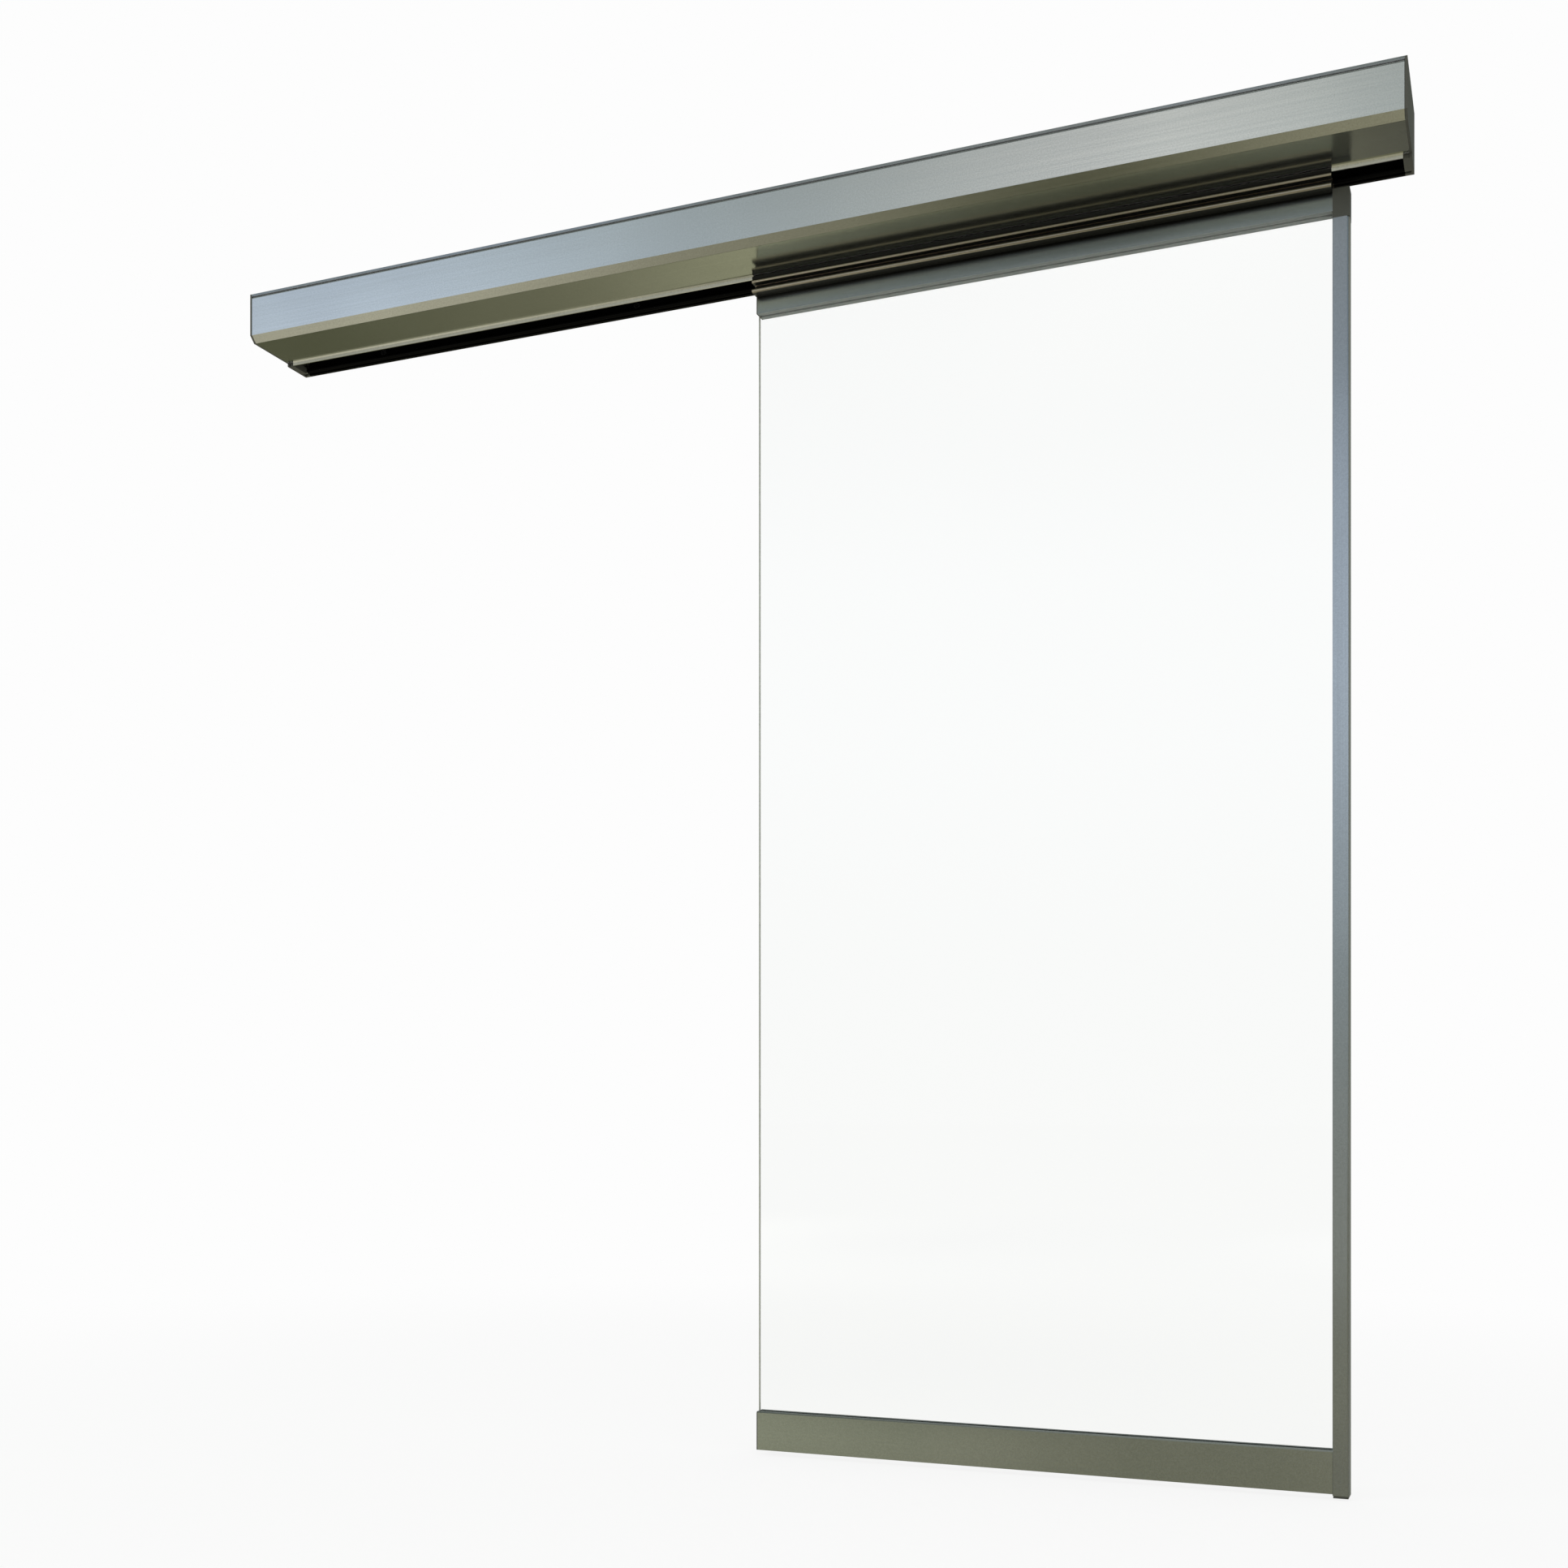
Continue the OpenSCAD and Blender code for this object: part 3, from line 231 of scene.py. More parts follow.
@dataclass(frozen=True)
class Finish:
    """A real finish: its colour, gloss and grain.

    Attributes:
        slot: the record's slot that has this finish.
        name: what the finish is.
        colour: sRGB hex of the clean surface.
        shade: sRGB hex that large soft patches drift to.
        roughness: mean roughness.
        grain: the fine pattern.
        patch: size of the soft patches in mm.
        metallic: 1 for bare metal.
        ior: index of refraction, for what isn't metal.
        coat: weight of a clear film over the surface.
        crown: how fast a face leans back towards its top, in metres of fall per square metre.
        lean: how much the whole face leans down, as a slope.
    """

    slot: Slot
    name: str
    colour: str
    shade: str
    roughness: float
    grain: Grain
    patch: float = 400.0
    metallic: float = 0.0
    ior: float = 1.5
    coat: float = 0.0
    crown: float = 0.0
    lean: float = 0.0

    def material(self) -> bpy.types.Material:
        """Gives the finish's material, which is built the first time.

        Returns:
            The material.
        """
        made = bpy.data.materials.get(self.name)
        if made is None:
            made = bpy.data.materials.new(self.name)
            tree = blank_tree(made)
            add_node(tree, "ShaderNodeOutputMaterial", {"Surface": self._surface(tree)})
        return made

    def _surface(self, tree: bpy.types.NodeTree) -> bpy.types.Node:
        """Builds the shader, with its colour, roughness and normal from the grain and the patches.

        Args:
            tree: the material's node tree.

        Returns:
            The shader.
        """
        grain, place = self.grain, add_node(tree, "ShaderNodeTexCoord").outputs["Object"]
        fine = add_node(tree, "ShaderNodeMapping", {"Vector": place, "Scale": grain.scale()})
        lines, patches, clouds = (
            add_node(tree, "ShaderNodeTexNoise", {"Vector": at, "Scale": scale, "Detail": detail})
            for at, scale, detail in (
                (fine, 1.0, grain.detail),
                (place, 1 / (self.patch * MM), 2.0),
                (place, 1 / (grain.cloud_size * MM), 1.0),
            )
        )
        soft = add_node(
            tree,
            "ShaderNodeMapRange",
            {"Value": patches, **PATCH_REACH},
            interpolation_type="SMOOTHSTEP",
        )
        base = add_node(
            tree,
            "ShaderNodeMix",
            {0: soft, 6: linear(self.colour), 7: linear(self.shade)},
            data_type="RGBA",
        )
        darker, cloudy, rough = (
            add_node(
                tree,
                "ShaderNodeMapRange",
                {"Value": noise, **NOISE_REACH, "To Min": low, "To Max": high},
            )
            for noise, low, high in (
                (lines, 1 - grain.tone, 1.0),
                (clouds, 1 - grain.cloud, 1 + grain.cloud),
                (lines, self.roughness + grain.gloss / 2, self.roughness - grain.gloss / 2),
            )
        )
        tone = add_node(tree, "ShaderNodeMath", {0: darker, 1: cloudy}, operation="MULTIPLY")
        toned = add_node(tree, "ShaderNodeVectorMath", {0: base, "Scale": tone}, operation="SCALE")
        bump = add_node(tree, "ShaderNodeBump", {"Height": lines, "Distance": grain.height * MM})
        if self.crown or self.lean:
            bump = self._leant(tree, place, bump)
        look = {"Base Color": toned, "Roughness": rough, "Normal": bump, "Metallic": self.metallic}
        look["Coat Weight"] = self.coat
        if self.metallic < 1:
            look["IOR"] = self.ior
        self._finish_off(tree, place, look)
        return add_node(tree, "ShaderNodeBsdfPrincipled", look)

    def _finish_off(self, tree: bpy.types.NodeTree, place: Feed, look: dict[str, object]) -> None:
        """Changes what only some finishes have otherwise; a plain finish needs nothing more.

        Args:
            tree: the material's node tree.
            place: the point on the object.
            look: what feeds the shader's inputs.
        """

    def _leant(self, tree: bpy.types.NodeTree, place: Feed, fine: Feed) -> bpy.types.Node:
        """Leans the normal back towards the top, or down, as drawn and rolled faces do.

        Args:
            tree: the material's node tree.
            place: the point on the object.
            fine: the bump of the grain.

        Returns:
            The bump node that has both.
        """
        rise = add_node(tree, "ShaderNodeSeparateXYZ", {0: place}).outputs["Z"]
        above = add_node(tree, "ShaderNodeMath", {0: rise, 1: UNDER_Z * MM}, operation="SUBTRACT")
        square = add_node(tree, "ShaderNodeMath", {0: above, 1: above}, operation="MULTIPLY")
        back = add_node(tree, "ShaderNodeMath", {0: square, 1: -self.crown}, operation="MULTIPLY")
        fall = add_node(
            tree, "ShaderNodeMath", {0: above, 1: self.lean, 2: back}, operation="MULTIPLY_ADD"
        )
        return add_node(tree, "ShaderNodeBump", {"Height": fall, "Distance": 1.0, "Normal": fine})


@dataclass(frozen=True)
class Metal(Finish):
    """Bare, anodised or plated metal, which takes its look from what it reflects."""

    metallic: float = 1.0


@dataclass(frozen=True)
class Coat:
    """Paint or brighter metal on the part of a profile inside a box: dark ones are painted shade,
    bare ones painted highlight.

    Attributes:
        low: corner of the box with the least X, Y and Z, in mm.
        high: its opposite corner.
        paint: sRGB hex of the coat.
        bare: True where it is brighter metal and no paint.
        gloss: specular level of the paint, less than PLAIN_GLOSS for a dead matt one.
    """

    low: Triple
    high: Triple
    paint: str = "060606"
    bare: bool = False
    gloss: float = PLAIN_GLOSS

    def mask(self, tree: bpy.types.NodeTree, place: Feed) -> bpy.types.Node:
        """Builds a mask that is 1 inside the box and 0 outside.

        Args:
            tree: the material's node tree.
            place: the point on the object.

        Returns:
            The node that gives the mask.
        """
        spans = list(zip(self.low, self.high))
        box = {
            "Vector": place,
            "Location": [(a + b) / 2 * MM for a, b in spans],
            "Scale": [(b - a) / 2 * MM for a, b in spans],
        }
        inside = add_node(tree, "ShaderNodeMapping", box, vector_type="TEXTURE")
        away = add_node(tree, "ShaderNodeVectorMath", {0: inside}, operation="ABSOLUTE")
        x, y, z = add_node(tree, "ShaderNodeSeparateXYZ", {0: away}).outputs
        flat = add_node(tree, "ShaderNodeMath", {0: x, 1: y}, operation="MAXIMUM")
        widest = add_node(tree, "ShaderNodeMath", {0: flat, 1: z}, operation="MAXIMUM")
        return add_node(tree, "ShaderNodeMath", {0: widest, 1: 1.0}, operation="LESS_THAN")


@dataclass(frozen=True)
class CoatedMetal(Metal):
    """A metal profile with paint or brighter metal on some of its faces.

    Attributes:
        coats: the coats, each in its own box.
    """

    coats: tuple[Coat, ...] = ()

    def _finish_off(self, tree: bpy.types.NodeTree, place: Feed, look: dict[str, object]) -> None:
        """Lays the coats over the metal.

        Args:
            tree: the material's node tree.
            place: the point on the object.
            look: what feeds the shader's inputs.
        """
        dead_matt = any(coat.gloss < PLAIN_GLOSS for coat in self.coats)
        gloss = PLAIN_GLOSS
        for coat in self.coats:
            mask = coat.mask(tree, place)
            paint = {0: mask, 6: look["Base Color"], 7: linear(coat.paint)}
            look["Base Color"] = add_node(tree, "ShaderNodeMix", paint, data_type="RGBA")
            if coat.bare:
                continue
            free = add_node(tree, "ShaderNodeMath", {0: 1.0, 1: mask}, operation="SUBTRACT")
            look["Metallic"] = add_node(
                tree, "ShaderNodeMath", {0: free, 1: look["Metallic"]}, operation="MULTIPLY"
            )
            if dead_matt:
                gloss = add_node(tree, "ShaderNodeMix", {0: mask, 2: gloss, 3: coat.gloss})
                look["Specular IOR Level"] = gloss


@dataclass(frozen=True)
class PaintedShadeTop(CoatedMetal):
    """A profile with painted shade: its colour darkens towards its top.

    Attributes:
        top: height where it is darkest, in mm.
        clear: height below which it has its own colour, in mm.
        dark: share of its colour that is left at the top.
    """

    top: float = 0.0
    clear: float = 0.0
    dark: float = 0.05

    def _finish_off(self, tree: bpy.types.NodeTree, place: Feed, look: dict[str, object]) -> None:
        """Lays the coats and paints shade into the colour between the two heights.

        Args:
            tree: the material's node tree.
            place: the point on the object.
            look: what feeds the shader's inputs.
        """
        super()._finish_off(tree, place, look)
        reach = {
            "Value": add_node(tree, "ShaderNodeSeparateXYZ", {0: place}).outputs["Z"],
            "From Min": self.clear * MM,
            "From Max": self.top * MM,
            "To Min": 1.0,
            "To Max": self.dark,
        }
        share = add_node(tree, "ShaderNodeMapRange", reach, interpolation_type="SMOOTHSTEP")
        look["Base Color"] = add_node(
            tree, "ShaderNodeVectorMath", {0: look["Base Color"], "Scale": share}, operation="SCALE"
        )


@dataclass(frozen=True)
class ClearGlass(Finish):
    """Float glass, clear through its faces, which lets light pass without a dark shadow."""

    def _surface(self, tree: bpy.types.NodeTree) -> bpy.types.Node:
        """Builds the glass, clear for the rays that cast shadows.

        Args:
            tree: the material's node tree.

        Returns:
            The shader.
        """
        tint = linear(self.colour)
        look = {"Base Color": tint, "Roughness": self.roughness, "IOR": self.ior}
        glass = add_node(tree, "ShaderNodeBsdfPrincipled", {**look, "Transmission Weight": 1.0})
        clear = add_node(tree, "ShaderNodeBsdfTransparent", {"Color": tint})
        shadow = add_node(tree, "ShaderNodeLightPath").outputs["Is Shadow Ray"]
        return add_node(tree, "ShaderNodeMixShader", {0: shadow, 1: glass, 2: clear})


# Extruded aluminium shows faint die lines along its length under the satin of its anodic film
DIE_LINES = Grain(1.6, 200.0, Along.X, tone=0.03, gloss=0.04, height=0.004, cloud=0.05)
STILE_LINES = Grain(1.6, 200.0, Along.Z, tone=0.03, gloss=0.04, height=0.004, cloud=0.05)
# Turned and ground steel has rings too fine to show, drawn coarse enough to break its shine
GROUND = Grain(0.6, 6.0, Along.Y, tone=0.06, gloss=0.1, height=0.004)
# Zinc plate is blotchy, with a fine crystal grain
ZINC_GRAIN = Grain(1.2, tone=0.08, gloss=0.12, height=0.004)
# A cast skin is pitted, a powder coat has orange peel, drawn as coarse as they need to show
CAST_SKIN = Grain(1.4, tone=0.14, gloss=0.12, height=0.05)
ORANGE_PEEL = Grain(1.2, tone=0.08, gloss=0.1, height=0.03)
# Spark-eroded moulds leave a leather-fine grain on plastic
MOULD = Grain(0.8, tone=0.04, gloss=0.08, height=0.02)
# Extruded rubber has drag marks along its length
RUBBER_SKIN = Grain(1.0, 40.0, Along.X, tone=0.1, gloss=0.08, height=0.01)
# Polishing wheels leave faint streaks down the edge of the glass
POLISH = Grain(2.0, 60.0, Along.Z, 0.1)

FINISHES: dict[Slot, Finish] = {
    f.slot: f
    for f in (
        # Anodised after extrusion: an even satin sheen with faint clouds, and a trace of painted
        # shade on top
        PaintedShadeTop(
            Slot.COVER, "satin anodised aluminium, cover", "e5e6e2", "dddedb", 0.24, DIE_LINES,
            crown=0.005, top=46.0, clear=-32.0, dark=0.95,
        ),
        # Left as it came from the die, duller than anodised. Its inside is painted shade: a dead
        # matt black that makes the slot along the wall read as a dark gap; its top edge has a grey
        # strip of painted light
        CoatedMetal(
            Slot.CARRIER, "mill finish aluminium, carrier", "a7abae", "9fa29f", 0.34, DIE_LINES,
            coats=(
                Coat((-1086.0, -172.0, -50.5), (1086.0, -0.2, 46.2), gloss=0.05),
                Coat((-1096.5, -180.5, 45.5), (1096.5, -171.9, 46.1), "a3a5a8"),
            ),
        ),
        # A glossier film than the cover's: a soft dark mirror of the floor, with a painted
        # highlight by the lip
        CoatedMetal(
            Slot.UNDERSIDE, "semi-gloss anodised aluminium, underside", "bbbeb0", "afb2a2", 0.15,
            DIE_LINES, metallic=0.96,
            coats=(Coat((-1096.5, -67.5, -44.5), (1096.5, -60.9, -43.5), "fcfcfa", bare=True),),
        ),
        # Brightened before it was anodised: a thin line of light that leans towards the floor
        Metal(
            Slot.LIP, "bright anodised aluminium, lip", "f2f2ee", "ecece8", 0.12, DIE_LINES,
            lean=0.24,
        ),
        # The same satin film as the cover's, a shade cooler
        Metal(Slot.LEAF, "satin anodised aluminium, leaf", "c6cac8", "bdc2bf", 0.24, DIE_LINES),
        # A hard, dense film: paler and a little glossier than the leaf's
        Metal(Slot.TRACK, "hard anodised aluminium, track", "c9cccf", "bfc2c6", 0.22, DIE_LINES),
        # Turned and bare: fine rings that spread its highlight
        Metal(Slot.PULLEY, "turned aluminium, pulley", "cfd2d4", "c6c9cc", 0.3, GROUND),
        # Sawn and left so: dull grey fins without a clear reflection
        Metal(Slot.HEAT_SINK, "sawn aluminium, heat sink", "a9adb0", "9da1a4", 0.42, DIE_LINES),
        # Cast in a steel mould: matt, grey and finely pitted
        Metal(Slot.CAST, "die cast aluminium, gearbox", "a4a7a8", "979a9b", 0.5, CAST_SKIN),
        # Thin zinc on rolled plate: a bluish shine with yellowish blotches
        Metal(Slot.ZINC, "zinc plated steel, plates", "b9bdc0", "b5b49f", 0.32, ZINC_GRAIN, 60.0),
        # The same on small turned parts: clean hard glints
        Metal(
            Slot.SCREW, "bright zinc plated steel, screws", "cfd2d4", "c4c7c9", 0.24, GROUND, 20.0
        ),
        # Ground and bare: the brightest steel of the door
        Metal(Slot.AXLE, "ground steel, axles", "d2d4d6", "c9cbcd", 0.18, GROUND, 40.0),
        # Moulded in a grained tool: dark and half matt, with soft light on its edges
        Finish(Slot.END_CAP, "moulded nylon, end caps", "4b4b42", "46463e", 0.42, MOULD, 90.0),
        # Rubber filled with carbon black: almost no shine
        Finish(Slot.RUBBER_BLACK, "extruded rubber, black", "121414", "181a1a", 0.6, RUBBER_SKIN),
        # Rubber with a pale filler: a warm grey, as matt
        Finish(Slot.RUBBER_GREY, "extruded rubber, grey", "8a8c82", "818378", 0.55, RUBBER_SKIN),
        # Baked powder: nearly black, with orange peel under a thin clear gloss
        Finish(
            Slot.MOTOR, "powder coat, motor", "26282b", "2c2e31", 0.45, ORANGE_PEEL, 80.0,
            coat=0.1,
        ),
        # Moulded in a grained tool: dark grey with a soft sheen
        Finish(Slot.UNIT, "moulded ABS, control unit", "37393c", "3d3f42", 0.42, MOULD, 90.0),
        # The same plastic coloured light grey, so that the lid stands out from its box
        Finish(Slot.LID, "moulded ABS, lid", "8d9194", "868a8d", 0.4, MOULD, 90.0),
        # Moulded from clean polyamide: off-white and smooth
        Finish(
            Slot.TERMINAL, "moulded polyamide, terminals", "dcdcd4", "d2d2c8", 0.38, MOULD, 30.0
        ),
        # Turned from rod: ivory and waxy, with fine rings
        Finish(Slot.WHEEL, "turned acetal, wheels", "e6e3d6", "dcd8c8", 0.3, GROUND, 30.0),
        # Milled from plate: ivory, a little duller than the wheels
        Finish(Slot.GUIDE, "machined nylon, guide", "dedcd2", "d4d2c6", 0.38, MOULD, 30.0),
        # Moulded with glass fibre: nearly black and matt
        Finish(Slot.STOP, "moulded polyamide, stops", "2b2d30", "313336", 0.45, MOULD, 30.0),
        # Low in iron: clear, and with a lower IOR than real glass, so that it mirrors as little
        # of the studio as the pane in the picture does
        ClearGlass(Slot.GLASS, "toughened float glass", "fdfefd", "fdfefd", 0.0, MOULD, ior=1.3),
    )
}
# The stile's film is the same, drawn upright: cooler, with painted shade that darkens it up towards
# the header
STILE_FINISH = PaintedShadeTop(
    Slot.LEAF, "satin anodised aluminium, stile", "bcc1c6", "b3b8bc", 0.22, STILE_LINES,
    top=-118.0, clear=-620.0, dark=0.74,
)
# Painted shade darkens the rail's top under the beads, and its lower lip is a flat grey that stays
# out of the mirror
TOP_RAIL_FINISH = PaintedShadeTop(
    Slot.LEAF, "satin anodised aluminium, top rail", "acb1ae", "a4a9a6", 0.24, DIE_LINES,
    coats=(Coat((-60.0, -45.0, -107.0), (976.0, -34.0, -106.2), "868c89"),),
    top=-76.0, clear=-90.0, dark=0.12,
)
# The back half has the leaf's own film, and a lip a shade lighter than the front one's
BACK_RAIL_FINISH = CoatedMetal(
    Slot.LEAF, "satin anodised aluminium, back rail", "c6cac8", "bdc2bf", 0.24, DIE_LINES,
    coats=(Coat((-60.0, -36.0, -107.0), (976.0, -13.0, -106.2), "939996"),),
)
# The hanger's film is a shade warmer; painted shade makes the grooves between its beads, and the
# beads' upper sides, dark lines
HANGER_FINISH = CoatedMetal(
    Slot.LEAF, "satin anodised aluminium, hanger", "cfc6bd", "c6bdb4", 0.24, DIE_LINES,
    coats=(
        Coat((-60.0, -62.9, -76.0), (976.0, -43.0, -58.4), "1c1c18"),
        Coat((-60.0, -67.0, -70.4), (976.0, -43.0, -58.4), "1c1c18"),
        Coat((-60.0, -67.0, -54.4), (976.0, -43.0, -51.0), "1e1e1a"),
    ),
)
# Glazing rubber in the rail's own grey, so that no line shows between rail and glass
GLAZING_GREY = Finish(
    Slot.RUBBER_BLACK, "extruded rubber, glazing", "b6bab6", "adb1ad", 0.5, RUBBER_SKIN
)
# Ground and polished: a pale line, faintly green where light has gone a long way through
GLASS_EDGE = Finish(
    Slot.GLASS, "polished glass edge", "e9ebe0", "e2e5d9", 0.12, POLISH, ior=1.52
)
# Blackened in a hot bath and oiled: black heads that don't glint, which keep the slot's painted
# shade unbroken
BLACK_OXIDE = Finish(
    Slot.SCREW, "black oxide steel, wall screws", "101112", "161718", 0.5, GROUND, 20.0
)
# Ground rings: bright thin circles in the wheels
BEARING_RING = Metal(Slot.AXLE, "ground steel, bearings", "c3c5c8", "b9bbbe", 0.2, GROUND, 20.0)
# Moulded rubber shields: a dark brownish ring between them
BEARING_SEAL = Finish(
    Slot.RUBBER_BLACK, "rubber seal, bearings", "2a2724", "302d2a", 0.5, MOULD, 20.0
)


# Meshes


def box_mm(node: str) -> tuple[Vector, Vector, Vector]:
    """Gives the low corner, the high corner and the middle of a node, in mm."""
    low, high = (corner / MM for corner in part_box(node))
    return low, high, (low + high) / 2


def as_object(mesh: bpy.types.Mesh) -> bpy.types.Object:
    """Puts a mesh in the scene at the origin, under its own name.

    Args:
        mesh: the mesh, in the row frame.

    Returns:
        The object.
    """
    made = bpy.data.objects.new(mesh.name, mesh)
    bpy.context.scene.collection.objects.link(made)
    return made


def shade_smooth(mesh: bpy.types.Mesh, angle: float = 35.0) -> None:
    """Shades a mesh smooth, with its edges sharp above an angle in degrees."""
    mesh.polygons.foreach_set("use_smooth", [True] * len(mesh.polygons))
    mesh.set_sharp_from_angle(angle=math.radians(angle))


def finish_piece(
    mesh: bpy.types.Mesh, body: str, replaces: tuple[str, ...] = ()
) -> None:
    """Puts a piece on its body and hides the nodes that it stands for.

    Args:
        mesh: the finished mesh, which has the piece's name.
        body: the name of the body that it rides on.
        replaces: the nodes that it stands for.
    """
    piece = as_object(mesh)
    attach(piece, body)
    if replaces:
        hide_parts(*replaces)
    LOG.info("%s: %d faces on %s", piece.name, len(mesh.polygons), body)


@dataclass(frozen=True)
class Place:
    """Where a repeated piece goes.

    Attributes:
        at: its origin in mm.
        facing: the way that its top faces.
    """

    at: Triple
    facing: Facing = Facing.UP


@dataclass
class NodeShape:
    """A Geometry Nodes tree that is built in code and then turned into a plain mesh.

    Attributes:
        name: the name of the piece that it makes.
        sizes: the value of each named input.
        tree: the node tree.
        given: the sockets of its inputs.
    """

    name: str
    sizes: dict[str, float | int]
    tree: bpy.types.NodeTree = field(init=False)
    given: bpy.types.bpy_prop_collection = field(init=False)

    def __post_init__(self) -> None:
        """Makes the empty tree with its geometry sockets and named inputs."""
        self.tree = bpy.data.node_groups.new(self.name + "_tree", "GeometryNodeTree")
        sockets = self.tree.interface
        sockets.new_socket("Geometry", in_out="INPUT", socket_type="NodeSocketGeometry")
        for label, value in self.sizes.items():
            kind = "NodeSocketInt" if isinstance(value, int) else "NodeSocketFloat"
            sockets.new_socket(label, in_out="INPUT", socket_type=kind)
        sockets.new_socket("Geometry", in_out="OUTPUT", socket_type="NodeSocketGeometry")
        self.given = add_node(self.tree, "NodeGroupInput").outputs

    def moved(self, part: Feed, rise: Feed) -> bpy.types.Node:
        """Moves geometry along Z."""
        way = add_node(self.tree, "ShaderNodeCombineXYZ", {"Z": rise})
        return add_node(self.tree, "GeometryNodeTransform", {0: part, "Translation": way})

    def make(self, part: Feed, finish: Finish, places: list[Place]) -> bpy.types.Mesh:
        """Sets a copy of the part on each place, runs the tree and gives a plain mesh.

        Args:
            part: the geometry of one part.
            finish: the finish that Set Material gives it.
            places: where the copies go.

        Returns:
            The plain mesh, with its faces turned outwards as the tree made them.
        """
        turn = add_node(
            self.tree, "GeometryNodeInputNamedAttribute", {"Name": TURN}, data_type="FLOAT_VECTOR"
        )
        rotation = add_node(self.tree, "FunctionNodeEulerToRotation", {0: turn})
        points = {"Points": self.given["Geometry"], "Instance": part, "Rotation": rotation}
        copies = add_node(self.tree, "GeometryNodeInstanceOnPoints", points)
        real = add_node(self.tree, "GeometryNodeRealizeInstances", {0: copies})
        dress = {0: real, "Material": finish.material()}
        dressed = add_node(self.tree, "GeometryNodeSetMaterial", dress)
        add_node(self.tree, "NodeGroupOutput", {0: dressed})
        seed = bpy.data.meshes.new(self.name + "_points")
        seed.from_pydata([Vector(place.at) * MM for place in places], [], [])
        turns = seed.attributes.new(TURN, "FLOAT_VECTOR", "POINT")
        for item, place in zip(turns.data, places):
            item.vector = [math.radians(angle) for angle in place.facing.value]
        carrier = as_object(seed)
        modifier = carrier.modifiers.new(self.name, "NODES")
        modifier.node_group = self.tree
        for item in self.tree.interface.items_tree:
            if item.in_out == "INPUT" and item.name in self.sizes:
                modifier[item.identifier] = self.sizes[item.name]
        seen = carrier.evaluated_get(bpy.context.evaluated_depsgraph_get())
        mesh = bpy.data.meshes.new_from_object(seen)
        mesh.name = self.name
        bpy.data.objects.remove(carrier)
        return mesh


# Sub-assemblies


